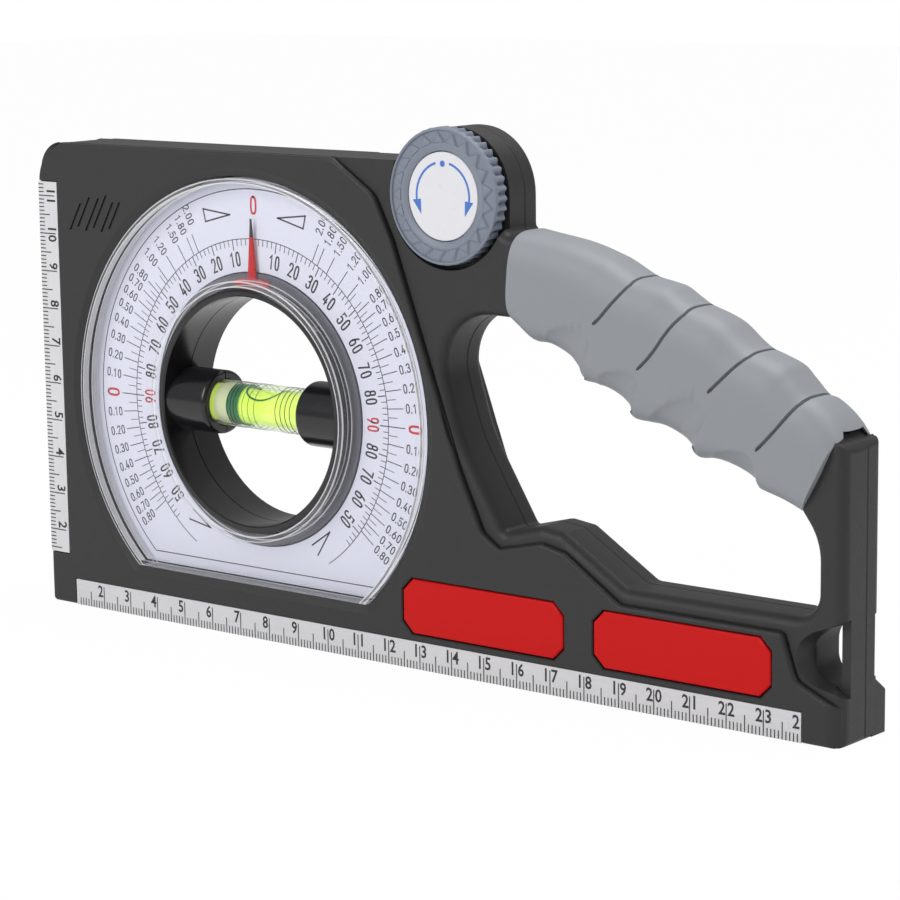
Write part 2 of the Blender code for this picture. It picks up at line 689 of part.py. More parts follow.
def front_shell(frame, look):
    """Front half of the case, with the dial pocket, knob pocket, recesses and screw posts."""
    rounds = edge_levels(PANEL_STEP, FRAME_ROUND, 1)
    shell = prism("front_shell", rounds + [(FRONT_END, 0)],
                  lambda inset: rounded(silhouette_corners(0), inset), frame, look)
    panel = prism("front_panel", [(0, PANEL_CHAMFER), (PANEL_CHAMFER, 0),
                                  (PANEL_STEP + FRAME_ROUND + GAP, 0)],
                  lambda inset: rounded(panel_corners(), inset), frame)
    combine(shell, panel, "UNION")
    cut_loop(shell, [(PANEL_STEP - OVERRUN, -FRAME_ROUND)] +
             [(depth, -inset) for depth, inset in rounds] + [(FRONT_END + OVERRUN, 0)], frame)
    cavity = case_cavity("front_cavity", CORE_INSET + WALL, FRONT_END + OVERRUN, WALL, frame)
    combine(cavity, prism("dial_cup", [(0, WALL), (FLOOR_BACK, WALL)],
                          dial_outline, frame, place=(DIAL_X, 0, DIAL_Z)))
    posts = [("collar", (DIAL_X, DIAL_Z), RING_RADIUS + GAP + WALL, 0, GEAR_DEPTH - GAP),
             ("knob_cup", (KNOB_X, KNOB_Z), KNOB_POCKET_RADIUS + WALL, 0,
              KNOB_POCKET_DEPTH + KNOB_FLOOR),
             ("idler_post", idler_place(), IDLER_PIN_RADIUS + IDLER_BOSS_WALL, 0, GEAR_DEPTH - GAP)]
    for name, place in screw_places().items():
        posts.append((name, place, SCREW_RADIUS + GAP + BOSS_WALL, 0, FRONT_END))
    keep_posts(cavity, posts, frame)
    keep_blocks(cavity, 0, FRONT_END + 2 * OVERRUN, frame)
    for index, (start, end) in enumerate(insert_boxes()):
        pad_end = INSERT_SINK + INSERT_THICKNESS + WALL
        combine(cavity, prism(f"insert_pad_{index}", [(0, WALL), (pad_end, WALL)],
                              lambda inset, a=start, b=end: insert_outline(a, b, inset), frame))
    combine(shell, cavity)
    cut_dial_pocket(shell, frame)
    cut_face_recesses(shell, frame)
    cut_shared(shell, -OVERRUN, FRONT_END + OVERRUN, frame)
    for name, place in screw_places().items():
        drill(shell, "hole_" + name, place, SCREW_RADIUS + GAP, SCREW_TIP_DEPTH - GAP,
              FRONT_END + OVERRUN, frame, steps=SCREW_STEPS)
    return shell


def keep_blocks(cavity, start, end, frame):
    """Solid stretches shared by both shells: magnet bed and lanyard slot surround."""
    bed = MAGNET_SINK + MAGNET_THICKNESS + GAP + WALL / 2
    for index, (left, right) in enumerate(magnet_boxes()):
        combine(cavity, block(f"{cavity.name}_bed_{index}", (left - WALL, start, 0),
                              (right + WALL, end, bed), frame))
    combine(cavity, prism(cavity.name + "_slot", [(start, 0), (end, 0)],
                          lambda inset: rounded(slot_corners(WALL), inset), frame))


def cut_loop(shell, levels, frame):
    """Open the finger loop through one shell."""
    combine(shell, prism(shell.name + "_loop", levels,
                         lambda inset: rounded(loop_corners(), inset), frame))


def cut_dial_pocket(shell, frame):
    """Pocket for the cover and dial plate, with a chamfered mouth, and the way for the drum."""
    levels = [(-OVERRUN, POCKET_CHAMFER + GAP), (0, POCKET_CHAMFER + GAP),
              (POCKET_CHAMFER_DEPTH, GAP), (POCKET_DEPTH, GAP)]
    combine(shell, prism("dial_pocket", levels, dial_outline, frame, place=(DIAL_X, 0, DIAL_Z)))
    drill(shell, "drum_way", (DIAL_X, DIAL_Z), RING_RADIUS + GAP, 0, FRONT_END + OVERRUN, frame,
          steps=ROUND_STEPS)


def cut_face_recesses(shell, frame):
    """Knob pocket, shaft hole, pin hole, ruler beds and insert beds in the front face."""
    drill(shell, "knob_pocket", (KNOB_X, KNOB_Z), KNOB_POCKET_RADIUS, -OVERRUN, KNOB_POCKET_DEPTH,
          frame, steps=ROUND_STEPS)
    drill(shell, "shaft_hole", (KNOB_X, KNOB_Z), SHAFT_RADIUS + GAP, 0, FRONT_END, frame)
    drill(shell, "pin_hole", idler_place(), IDLER_PIN_RADIUS + GAP, POCKET_DEPTH + POCKET_FLOOR / 2,
          FRONT_END, frame)
    bed = RULER_THICKNESS + GAP
    for name, low, high in ruler_boxes():
        combine(shell, block(name + "_bed", (low[0] - GAP, -OVERRUN, low[1] - GAP),
                             (high[0] + GAP, bed, high[1] + GAP), frame))
    for name, low, high in (("base_rim", (BASE_RULER_START - GAP, -OVERRUN),
                             (BODY_LENGTH - BASE_RULER_END_MARGIN + GAP, RULER_WIDTH)),
                            ("side_rim", (-OVERRUN, SIDE_RULER_START - GAP),
                             (RULER_WIDTH, BODY_HEIGHT - SIDE_RULER_END_MARGIN + GAP))):
        combine(shell, block(name + "_bed", (low[0], -OVERRUN, low[1]), (high[0], bed, high[1]), frame))
    for index, (start, end) in enumerate(insert_boxes()):
        depth = INSERT_SINK + INSERT_THICKNESS + GAP
        combine(shell, prism(f"insert_bed_{index}", [(-OVERRUN, GAP), (depth, GAP)],
                             lambda inset, a=start, b=end: insert_outline(a, b, inset), frame))


def ruler_boxes():
    """Name and face corners of the two rulers."""
    return [("base_ruler", (BASE_RULER_START, RULER_EDGE),
             (BODY_LENGTH - BASE_RULER_END_MARGIN, RULER_EDGE + RULER_WIDTH)),
            ("side_ruler", (RULER_EDGE, SIDE_RULER_START),
             (RULER_EDGE + RULER_WIDTH, BODY_HEIGHT - SIDE_RULER_END_MARGIN))]


def cut_shared(shell, start, end, frame):
    """Cuts that pass through both shells: lanyard slot, magnet groove and the sleeve's room."""
    combine(shell, prism(shell.name + "_lanyard", [(start, 0), (end, 0)],
                         lambda inset: rounded(slot_corners(), inset), frame))
    half = MAGNET_WIDTH / 2 + GAP
    for index, (left, right) in enumerate(magnet_boxes()):
        combine(shell, block(f"{shell.name}_groove_{index}",
                             (left - GAP, BODY_DEPTH / 2 - half, -OVERRUN),
                             (right + GAP, BODY_DEPTH / 2 + half,
                              MAGNET_SINK + MAGNET_THICKNESS + GAP), frame))
    room = prism(shell.name + "_sleeve_room", [(start, 0), (end, 0)],
                 lambda inset: sleeve_room_outline(), frame)
    combine(room, handle_core(shell.name + "_core", 0, frame))
    combine(shell, room)


def sleeve_room_outline():
    """Region of the case face that the sleeve covers, a little short of both shoulders."""
    slack = GAP / 3
    neck_top, neck_foot = Vector(at(*NECK_TOP_SHARES)), Vector(at(*NECK_FOOT_SHARES))
    post_top, post_foot = Vector(at(*POST_TOP_SHARES)), Vector(at(*POST_INSIDE_SHARES))
    neck, post = (neck_top - neck_foot).normalized(), (post_top - post_foot).normalized()
    step = Vector((slack, 0))
    far = POST_THICKNESS
    high = Vector((0, far))
    tops = [tuple(Vector(at(*pair)) + high) for pair in reversed(HANDLE_TOP_MID_SHARES)]
    feet = [tuple(Vector(at(*pair)) - high) for pair in reversed(HANDLE_FOOT_MID_SHARES)]
    return [tuple(neck_foot - neck * WALL + step), *feet, tuple(post_foot - post * WALL - step),
            tuple(post_top + post * WALL - step), *tops, tuple(neck_top + neck * WALL + step)]


def rear_shell(frame, look):
    """Rear half of the case, with the drum bearing, gear supports and screw wells."""
    rounds = list(reversed(edge_levels(FRAME_BACK, FRAME_ROUND, -1)))
    shell = prism("rear_shell", [(REAR_START, 0)] + rounds,
                  lambda inset: rounded(silhouette_corners(0), inset), frame, look)
    panel = prism("rear_panel", [(FRAME_BACK - FRAME_ROUND - GAP, 0), (BODY_DEPTH - PANEL_CHAMFER, 0),
                                 (BODY_DEPTH, PANEL_CHAMFER)],
                  lambda inset: rounded(panel_corners(), inset), frame)
    combine(shell, panel, "UNION")
    cut_loop(shell, [(REAR_START - OVERRUN, 0)] + [(depth, -inset) for depth, inset in rounds] +
             [(FRAME_BACK + OVERRUN, -FRAME_ROUND)], frame)
    cavity = case_cavity("rear_cavity", REAR_START - OVERRUN, CORE_BACK - WALL, BODY_DEPTH - WALL,
                         frame)
    bearing_start = GEAR_BACK + GAP + FLANGE_THICKNESS + GAP
    posts = [("bearing", (DIAL_X, DIAL_Z), FLANGE_RADIUS, bearing_start, BODY_DEPTH),
             ("knob_cup", (KNOB_X, KNOB_Z), KNOB_POCKET_RADIUS + WALL, GEAR_BACK + GAP, BODY_DEPTH),
             ("idler_post", idler_place(), IDLER_PIN_RADIUS + IDLER_BOSS_WALL, GEAR_BACK + GAP,
              BODY_DEPTH)]
    for name, place in screw_places().items():
        posts.append((name, place, SCREW_HEAD_RADIUS + GAP + BOSS_WALL, REAR_START, BODY_DEPTH))
    keep_posts(cavity, posts, frame)
    keep_blocks(cavity, REAR_START - 2 * OVERRUN, BODY_DEPTH, frame)
    combine(shell, cavity)
    cut_rear_wells(shell, frame)
    cut_shared(shell, REAR_START - OVERRUN, BODY_DEPTH + OVERRUN, frame)
    return shell


def cut_rear_wells(shell, frame):
    """Drum bore, knob recess, pin hole, screw wells and the thinner foot of the post."""
    drill(shell, "bore", (DIAL_X, DIAL_Z), DRUM_RADIUS + GAP, REAR_START, BODY_DEPTH + OVERRUN, frame,
          steps=ROUND_STEPS)
    drill(shell, "knob_recess", (KNOB_X, KNOB_Z), KNOB_POCKET_RADIUS, BODY_DEPTH - KNOB_REAR_RECESS,
          BODY_DEPTH + OVERRUN, frame, steps=ROUND_STEPS)
    drill(shell, "shaft_hole", (KNOB_X, KNOB_Z), SHAFT_RADIUS + GAP, GEAR_BACK, BODY_DEPTH, frame)
    drill(shell, "pin_hole", idler_place(), IDLER_PIN_RADIUS + GAP, GEAR_BACK, BODY_DEPTH - WALL, frame)
    for name, place in screw_places().items():
        drill(shell, "hole_" + name, place, SCREW_RADIUS + GAP, REAR_START - OVERRUN, BODY_DEPTH,
              frame, steps=SCREW_STEPS)
        drill(shell, "well_" + name, place, SCREW_HEAD_RADIUS + GAP, SCREW_HEAD_DEPTH - GAP,
              BODY_DEPTH + OVERRUN, frame)
    lift = SLOT_RADIUS / 4
    combine(shell, block("post_step",
                         (POST_X - SLOT_WIDTH, FRAME_BACK - SLOT_BACK_STEP, SLOT_FOOT + lift),
                         (BODY_LENGTH + OVERRUN, BODY_DEPTH + OVERRUN, SLOT_TOP + lift), frame))


def clear_cover(frame, look):
    """Clear moulding over the dial: deep rim, sunk window and a raised collar round the drum."""
    window_back = COVER_WINDOW_DEPTH + COVER_WINDOW_THICKNESS
    cover = prism("clear_cover", [(0, -COVER_RIM / 3), (COVER_RIM / 3, 0), (COVER_BACK_DEPTH, 0)],
                  dial_outline, frame, look, place=(DIAL_X, 0, DIAL_Z))
    for name, start, end in (("cover_front", -OVERRUN, COVER_WINDOW_DEPTH),
                             ("cover_back", window_back, COVER_BACK_DEPTH + OVERRUN)):
        tool = prism(name, [(start, -COVER_RIM), (end, -COVER_RIM)], dial_outline, frame,
                     place=(DIAL_X, 0, DIAL_Z))
        combine(cover, tool)
    outer = DRUM_RADIUS + GAP + COVER_COLLAR_WIDTH
    combine(cover, disc("cover_collar", outer, 0, COVER_COLLAR_DEPTH, frame,
                        place=(DIAL_X, 0, DIAL_Z)), "UNION")
    drill(cover, "way", (DIAL_X, DIAL_Z), DRUM_RADIUS + GAP, -OVERRUN, BODY_DEPTH, frame,
          steps=ROUND_STEPS)
    return cover


def dial_plate(frame, look):
    """Printed plate under the cover, with a round way for the pointer ring."""
    plate = prism("dial_plate", [(PLATE_DEPTH, -PLATE_MARGIN),
                                 (PLATE_DEPTH + PLATE_THICKNESS, -PLATE_MARGIN)],
                  dial_outline, frame, look, place=(DIAL_X, 0, DIAL_Z))
    drill(plate, "way", (DIAL_X, DIAL_Z), RING_RADIUS + GAP, 0, BODY_DEPTH, frame, steps=ROUND_STEPS)
    return plate


def drum_half(name, rotor, look, front):
    """One half of the drum: a flanged tube with two half sockets that clamp the vial."""
    flange_back = VIAL_DEPTH - GAP / 2
    start, end = (DRUM_FRONT_DEPTH, flange_back) if front else (VIAL_DEPTH + GAP / 2, DRUM_BACK_DEPTH)
    lip = DRUM_LIP
    if front:
        outer = [(DRUM_RADIUS - lip, start), (DRUM_RADIUS, start + lip),
                 (DRUM_RADIUS, end - FLANGE_THICKNESS), (FLANGE_RADIUS, end - FLANGE_THICKNESS),
                 (FLANGE_RADIUS, end)]
    else:
        flange = GEAR_BACK + GAP
        outer = [(DRUM_RADIUS, start), (DRUM_RADIUS, flange), (FLANGE_RADIUS, flange),
                 (FLANGE_RADIUS, flange + FLANGE_THICKNESS), (DRUM_RADIUS, flange + FLANGE_THICKNESS),
                 (DRUM_RADIUS, end - lip), (DRUM_RADIUS - lip, end)]
    drum = turned(name, outer + [(DRUM_BORE_RADIUS, end), (DRUM_BORE_RADIUS, start)], rotor, look)
    for side, sign in (("left", -1), ("right", 1)):
        near, far = VIAL_SIGHT_HALF, DRUM_BORE_RADIUS + DRUM_WALL / 2
        combine(drum, half_socket(f"{name}_{side}", sign, near, far, rotor, front), "UNION")
    combine(drum, bar_along_x(name + "_vial_way", VIAL_RADIUS + GAP, -VIAL_HALF_LENGTH - GAP,
                              VIAL_HALF_LENGTH + GAP, rotor))
    for side, sign in (("left", -1), ("right", 1)):
        place = (sign * drum_screw_reach(), 0)
        tip = drum_screw_head_depth() - DRUM_SCREW_LENGTH - GAP
        drill(drum, "screw_" + side, place, DRUM_SCREW_RADIUS + GAP, tip, BODY_DEPTH, rotor,
              steps=SCREW_STEPS)
        if not front:
            drill(drum, "well_" + side, place, DRUM_SCREW_HEAD_RADIUS + GAP,
                  drum_screw_head_depth() - GAP, BODY_DEPTH, rotor)
    return drum


def drum_screw_reach():
    """Distance of the drum screws from the dial axis, midway in the solid end of a socket."""
    return (VIAL_HALF_LENGTH + DRUM_BORE_RADIUS) / 2


def drum_screw_head_depth():
    """Depth of the seat under the drum screw heads."""
    return VIAL_DEPTH + SOCKET_RADIUS - DRUM_SCREW_HEAD - 2 * GAP


def bar_along_x(name, radius, start, end, parent, look=None, steps=POST_STEPS * 2):
    """A round bar along the vial axis."""
    rings = [[(x, VIAL_DEPTH + y, z) for y, z in circle(radius, steps)] for x in (start, end)]
    return loft(name, rings, parent, look)


def half_socket(name, sign, near, far, rotor, front):
    """Half a round socket on the front or rear side of the vial axis."""
    turn = math.pi / 2 if front else -math.pi / 2
    steps = 20
    seam = -GAP / 2 if front else GAP / 2
    arc = []
    for step in range(steps + 1):
        angle = turn + math.pi * step / steps
        depth = VIAL_DEPTH + SOCKET_RADIUS * math.cos(angle)
        limit = VIAL_DEPTH + seam
        arc.append((min(depth, limit) if front else max(depth, limit), SOCKET_RADIUS * math.sin(angle)))
    rings = [[(sign * x, y, z) for y, z in arc] for x in (near, far)]
    return loft(name, rings, rotor)


def vial(rotor, glass, fluid, cap):
    """Clear tube closed at one end, its plug, and the liquid with an open dent for the bubble."""
    tube = bar_along_x("vial_tube", VIAL_RADIUS, -VIAL_HALF_LENGTH, VIAL_HALF_LENGTH, rotor, glass)
    inner = VIAL_RADIUS - VIAL_WALL
    combine(tube, bar_along_x("vial_bore", inner, -VIAL_HALF_LENGTH + VIAL_END_WALL,
                              VIAL_HALF_LENGTH + OVERRUN, rotor))
    plug_start = VIAL_HALF_LENGTH - VIAL_PLUG_LENGTH
    bar_along_x("vial_plug", inner - GAP, plug_start, VIAL_HALF_LENGTH - GAP, rotor, cap)
    liquid = bar_along_x("vial_liquid", inner - GAP, -VIAL_HALF_LENGTH + VIAL_END_WALL + GAP,
                         plug_start - GAP, rotor, fluid)
    combine(liquid, bubble("vial_bubble", inner - GAP, rotor))


def bubble(name, top, rotor):
    """Lens-shaped room of the bubble, breaking out at the top of the liquid."""
    rings = []
    stations = 10
    for station in range(stations + 1):
        along = math.pi * station / stations
        size = max(math.sin(along), BUBBLE_TIP_SHARE)
        x = -BUBBLE_HALF_LENGTH * math.cos(along)
        rings.append([(x, VIAL_DEPTH + BUBBLE_WIDTH / 2 * size * math.cos(angle),
                       top + BUBBLE_DEPTH * size * math.sin(angle))
                      for angle in (math.tau * step / 12 for step in range(12))])
    return loft(name, rings, rotor)


def drum_screws(rotor, look):
    """Two small screws that draw the drum halves together."""
    for side, sign in (("left", -1), ("right", 1)):
        seat = drum_screw_head_depth()
        profile = screw_profile(DRUM_SCREW_RADIUS, DRUM_SCREW_HEAD_RADIUS, seat, DRUM_SCREW_HEAD,
                                DRUM_SCREW_LENGTH)
        solid_turned("drum_screw_" + side, profile, rotor, look, (sign * drum_screw_reach(), 0, 0),
                     SCREW_STEPS)


def screw_profile(radius, head_radius, seat, head, length):
    """Open profile of a pan head screw from its tip to the middle of its head."""
    return [(0, seat - length), (radius, seat - length + radius), (radius, seat),
            (head_radius, seat), (head_radius, seat + head * 2 / 3),
            (head_radius * 3 / 4, seat + head), (0, seat + head)]


def solid_turned(name, profile, parent, look, place, steps):
    """Turn an open profile that starts and ends on the axis."""
    builder = bmesh.new()
    first = builder.verts.new((0, profile[0][1], 0))
    last = builder.verts.new((0, profile[-1][1], 0))
    rows = []
    for radius, depth in profile[1:-1]:
        rows.append([builder.verts.new((x, depth, z)) for x, z in circle(radius, steps)])
    for near, far in zip(rows, rows[1:]):
        for index in range(steps):
            after = (index + 1) % steps
            builder.faces.new((near[index], near[after], far[after], far[index]))
    for index in range(steps):
        after = (index + 1) % steps
        builder.faces.new((first, rows[0][index], rows[0][after]))
        builder.faces.new((last, rows[-1][after], rows[-1][index]))
    return finish(name, builder, parent, look, place)


def pointer_parts(rotor, ring_look, pointer_look):
    """Ring on the drum flange and the tapered pointer that lies on it."""
    front = PLATE_DEPTH - POINTER_RING_THICKNESS / 2
    inner = DRUM_RADIUS + GAP
    turned("pointer_ring", [(inner, front), (RING_RADIUS, front),
                            (RING_RADIUS, front + POINTER_RING_THICKNESS),
                            (inner, front + POINTER_RING_THICKNESS)], rotor, ring_look)
    spacer_front = front + POINTER_RING_THICKNESS + GAP
    turned("ring_spacer", [(inner, spacer_front), (FLANGE_RADIUS, spacer_front),
                           (FLANGE_RADIUS, VIAL_DEPTH - GAP / 2 - FLANGE_THICKNESS - GAP),
                           (inner, VIAL_DEPTH - GAP / 2 - FLANGE_THICKNESS - GAP)], rotor, ring_look)
    back = front - GAP
    base = (inner + RING_RADIUS) / 2
    tip = base + POINTER_LENGTH
    half = POINTER_BASE_WIDTH / 2
    outline = [(-half, base), (half, base), (POINTER_TIP_WIDTH / 2, tip), (-POINTER_TIP_WIDTH / 2, tip)]
    loft("pointer", [[(x, depth, z) for x, z in outline] for depth in (back - POINTER_THICKNESS, back)],
         rotor, pointer_look)


def gears(rotor, idler, knob_frame, look):
    """Ring gear on the drum, idler on its pin and pinion on the knob shaft, in mesh at rest."""
    levels = [(GEAR_DEPTH, 0), (GEAR_BACK, 0)]
    ring = prism("ring_gear", levels, lambda inset: gear_outline(RING_TEETH, TRAIN_ANGLE), rotor, look)
    drill(ring, "way", (0, 0), DRUM_RADIUS + GAP, 0, BODY_DEPTH, rotor, steps=ROUND_STEPS)
    idler_phase = TRAIN_ANGLE + math.pi / IDLER_TEETH
    middle = prism("idler_gear", levels, lambda inset: gear_outline(IDLER_TEETH, idler_phase), idler,
                   look)
    drill(middle, "way", (0, 0), IDLER_PIN_RADIUS + GAP, 0, BODY_DEPTH, idler)
    pinion = prism("knob_pinion", levels,
                   lambda inset: gear_outline(PINION_TEETH, TRAIN_ANGLE + math.pi), knob_frame, look)
    combine(pinion, disc("pinion_hub", SHAFT_RADIUS + GAP + HUB_WALL,
                         KNOB_POCKET_DEPTH + KNOB_FLOOR + GAP, GEAR_DEPTH + GEAR_THICKNESS / 2,
                         knob_frame, steps=POST_STEPS), "UNION")
    drill(pinion, "way", (0, 0), SHAFT_RADIUS + GAP, 0, BODY_DEPTH, knob_frame)


def knob_parts(knob_frame, look, label_look, steel):
    """Toothed knob with a sunk label, on a steel shaft held by a screw from behind."""
    front = -KNOB_PROUD
    levels = [(front, KNOB_EDGE), (front + KNOB_EDGE, 0), (KNOB_BACK, 0)]
    knob = prism("knob", levels, knob_outline, knob_frame, look)
    recess = LABEL_SINK + LABEL_THICKNESS + GAP
    pocket = LABEL_RADIUS + GAP
    combine(knob, prism("label_bed", [(front - KNOB_EDGE, -LABEL_BEVEL), (front, -LABEL_BEVEL),
                                      (front + LABEL_SINK, 0), (front + recess, 0)],
                        lambda inset: circle(pocket - inset), knob_frame))
    drill(knob, "shaft_hole", (0, 0), SHAFT_RADIUS + GAP, SHAFT_SOCKET - GAP, BODY_DEPTH, knob_frame)
    disc("knob_label", LABEL_RADIUS, front + LABEL_SINK, front + LABEL_SINK + LABEL_THICKNESS,
         knob_frame, label_look)
    shaft_end = BODY_DEPTH - KNOB_REAR_RECESS - GAP
    shaft = disc("knob_shaft", SHAFT_RADIUS, SHAFT_SOCKET, shaft_end, knob_frame, steel,
                 steps=POST_STEPS)
    seat = BODY_DEPTH - KNOB_REAR_RECESS + GAP
    drill(shaft, "thread", (0, 0), KNOB_SCREW_RADIUS + GAP, seat - KNOB_SCREW_LENGTH - GAP,
          BODY_DEPTH, knob_frame, steps=SCREW_STEPS)
    solid_turned("knob_screw", screw_profile(KNOB_SCREW_RADIUS, KNOB_SCREW_HEAD_RADIUS, seat,
                                             KNOB_SCREW_HEAD, KNOB_SCREW_LENGTH),
                 knob_frame, steel, (0, 0, 0), POST_STEPS)


def knob_outline(inset):
    """Knob edge with rounded grip teeth."""
    points = []
    for tooth in range(KNOB_TEETH):
        for share, depth in ((0.0, 0.0), (0.4, 0.0), (0.7, 1.0)):
            angle = math.tau * (tooth + share) / KNOB_TEETH
            radius = KNOB_RADIUS - inset - KNOB_TOOTH * depth
            points.append((radius * math.cos(angle), radius * math.sin(angle)))
    return points


def friction_washer(frame, look):
    """Thin washer between the knob and the floor of its pocket."""
    start = KNOB_BACK + GAP
    turned("friction_washer", [(SHAFT_RADIUS + GAP, start), (WASHER_RADIUS, start),
                               (WASHER_RADIUS, start + WASHER_THICKNESS),
                               (SHAFT_RADIUS + GAP, start + WASHER_THICKNESS)],
           frame, look, (KNOB_X, 0, KNOB_Z), POST_STEPS * 2)


def bezier(start, control, end, t):
    """Point on a quadratic curve."""
    return (1 - t) ** 2 * Vector(start) + 2 * t * (1 - t) * Vector(control) + t * t * Vector(end)


SLEEVE_TOP_SHARES = ((0.2352, 0.8752), (0.5923, 0.8559), (0.9872, 0.5789))
SLEEVE_FOOT_SHARES = ((0.2153, 0.7029), (0.4826, 0.5249), (0.8851, 0.4147))
SCALLOP_START_SHARE = 0.08
SCALLOP_PITCH_SHARE = 0.195
CREST_START_SHARE = 0.228
CREST_PITCH_SHARE = 0.172


def wave(t, start, pitch, lean):
    """Rounded hollow that repeats along the grip, leaning towards the post; 0 to 1."""
    if t < start:
        return 0.0
    phase = ((t - start) / pitch) % 1.0
    return math.sin(math.pi * phase ** lean)


def sleeve_ring(t, steps=18):
    """Cross-section of the grip sleeve at share t of its length."""
    top = bezier(*(at(*pair) for pair in SLEEVE_TOP_SHARES), t)
    foot = bezier(*(at(*pair) for pair in SLEEVE_FOOT_SHARES), t)
    across = (top - foot).normalized()
    top = top - across * CREST_DEPTH * wave(t, CREST_START_SHARE, CREST_PITCH_SHARE, CREST_LEAN_SHARE)
    foot = foot + across * SCALLOP_DEPTH * wave(t, SCALLOP_START_SHARE, SCALLOP_PITCH_SHARE, SCALLOP_LEAN_SHARE)
    middle, half = (top + foot) / 2, (top - foot).length / 2
    half_depth = (FRAME_BACK + PANEL_STEP) / 2 + SLEEVE_PROUD
    ring = []
    for step in range(steps):
        angle = math.tau * step / steps
        rise, side = math.cos(angle), math.sin(angle)
        place = middle + across * half * math.copysign(abs(rise) ** SECTION_POWER_SHARE, rise)
        depth = half_depth - SLEEVE_PROUD + half_depth * math.copysign(abs(side) ** SECTION_POWER_SHARE,
                                                                       side)
        ring.append((place.x, depth, place.y))
    return ring


def grip_sleeve(frame, look):
    """Soft sleeve moulded round the handle core, with finger hollows underneath."""
    stations = 34
    rings = [sleeve_ring(station / stations) for station in range(stations + 1)]
    sleeve = loft("grip_sleeve", rings, frame, look)
    combine(sleeve, handle_core("sleeve_bore", GAP, frame))
    return sleeve


def plates(frame, metal, red, magnet):
    """Rulers, coloured inserts and magnet strips, each lying in its bed."""
    for name, low, high in ruler_boxes():
        block(name, (low[0], 0, low[1]), (high[0], RULER_THICKNESS, high[1]), frame, metal)
    for side, (start, end) in zip(("left", "right"), insert_boxes()):
        prism("insert_" + side, [(INSERT_SINK, 0), (INSERT_SINK + INSERT_THICKNESS, 0)],
              lambda inset, a=start, b=end: insert_outline(a, b, inset), frame, red)
    for side, (start, end) in zip(("left", "right"), magnet_boxes()):
        block("magnet_strip_" + side, (start, BODY_DEPTH / 2 - MAGNET_WIDTH / 2, MAGNET_SINK),
              (end, BODY_DEPTH / 2 + MAGNET_WIDTH / 2, MAGNET_SINK + MAGNET_THICKNESS), frame, magnet)


def case_screws(frame, look):
    """Pan head screws from behind that hold the shells together."""
    length = SCREW_HEAD_DEPTH - SCREW_TIP_DEPTH
    profile = screw_profile(SCREW_RADIUS, SCREW_HEAD_RADIUS, SCREW_HEAD_DEPTH, SCREW_HEAD, length)
    for name, (x, z) in screw_places().items():
        solid_turned("screw_" + name, profile, frame, look, (x, 0, z), SCREW_STEPS)


def build():
    """Make every piece of the gauge."""
    clear_scene()
    plastic = material("case_plastic", (0.045, 0.045, 0.048), 0.55)
    gloss = material("drum_plastic", (0.02, 0.02, 0.022), 0.3)
    clear = material("clear_plastic", (0.9, 0.93, 0.96), 0.08, alpha=0.3)
    paper = material("dial_print", (0.68, 0.69, 0.76), 0.45)
    grey = material("ring_grey", (0.22, 0.22, 0.25), 0.5)
    red = material("red_plastic", (0.55, 0.012, 0.015), 0.4)
    soft = material("grip_rubber", (0.27, 0.29, 0.32), 0.6)
    knob_grey = material("knob_plastic", (0.2, 0.23, 0.29), 0.5)
    label = material("label_white", (0.82, 0.82, 0.84), 0.4)
    metal = material("ruler_metal", (0.6, 0.6, 0.62), 0.35, 0.7)
    steel = material("steel", (0.55, 0.56, 0.58), 0.3, 1.0)
    nylon = material("gear_nylon", (0.75, 0.74, 0.68), 0.45)
    magnet = material("magnet_strip", (0.08, 0.075, 0.07), 0.6)
    fluid = material("vial_fluid", (0.55, 0.85, 0.05), 0.1, alpha=0.8)
    tool = pivot("tool_frame", place=(-BODY_LENGTH / 2, -BODY_DEPTH / 2, 0))
    rotor = pivot("rotor_axis", tool, (DIAL_X, 0, DIAL_Z))
    idler_x, idler_z = idler_place()
    idler = pivot("idler_axis", tool, (idler_x, 0, idler_z))
    knob = pivot("knob_axis", tool, (KNOB_X, 0, KNOB_Z))
    front_shell(tool, plastic)
    rear_shell(tool, plastic)
    clear_cover(tool, clear)
    dial_plate(tool, paper)
    plates(tool, metal, red, magnet)
    grip_sleeve(tool, soft)
    case_screws(tool, steel)
    friction_washer(tool, magnet)
    disc("idler_pin", IDLER_PIN_RADIUS, FLOOR_BACK - GAP, BODY_DEPTH - WALL - GAP, tool, steel,
         place=(idler_x, 0, idler_z), steps=POST_STEPS)
    drum_half("drum_front", rotor, gloss, True)
    drum_half("drum_rear", rotor, gloss, False)
    vial(rotor, clear, fluid, gloss)
    drum_screws(rotor, steel)
    pointer_parts(rotor, grey, red)
    gears(rotor, idler, knob, nylon)
    knob_parts(knob, knob_grey, label, steel)


build()
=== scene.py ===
"""Looks of the hand-held slope gauge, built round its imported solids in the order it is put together."""
import math

import bmesh
import bpy
from mathutils import Matrix, Vector


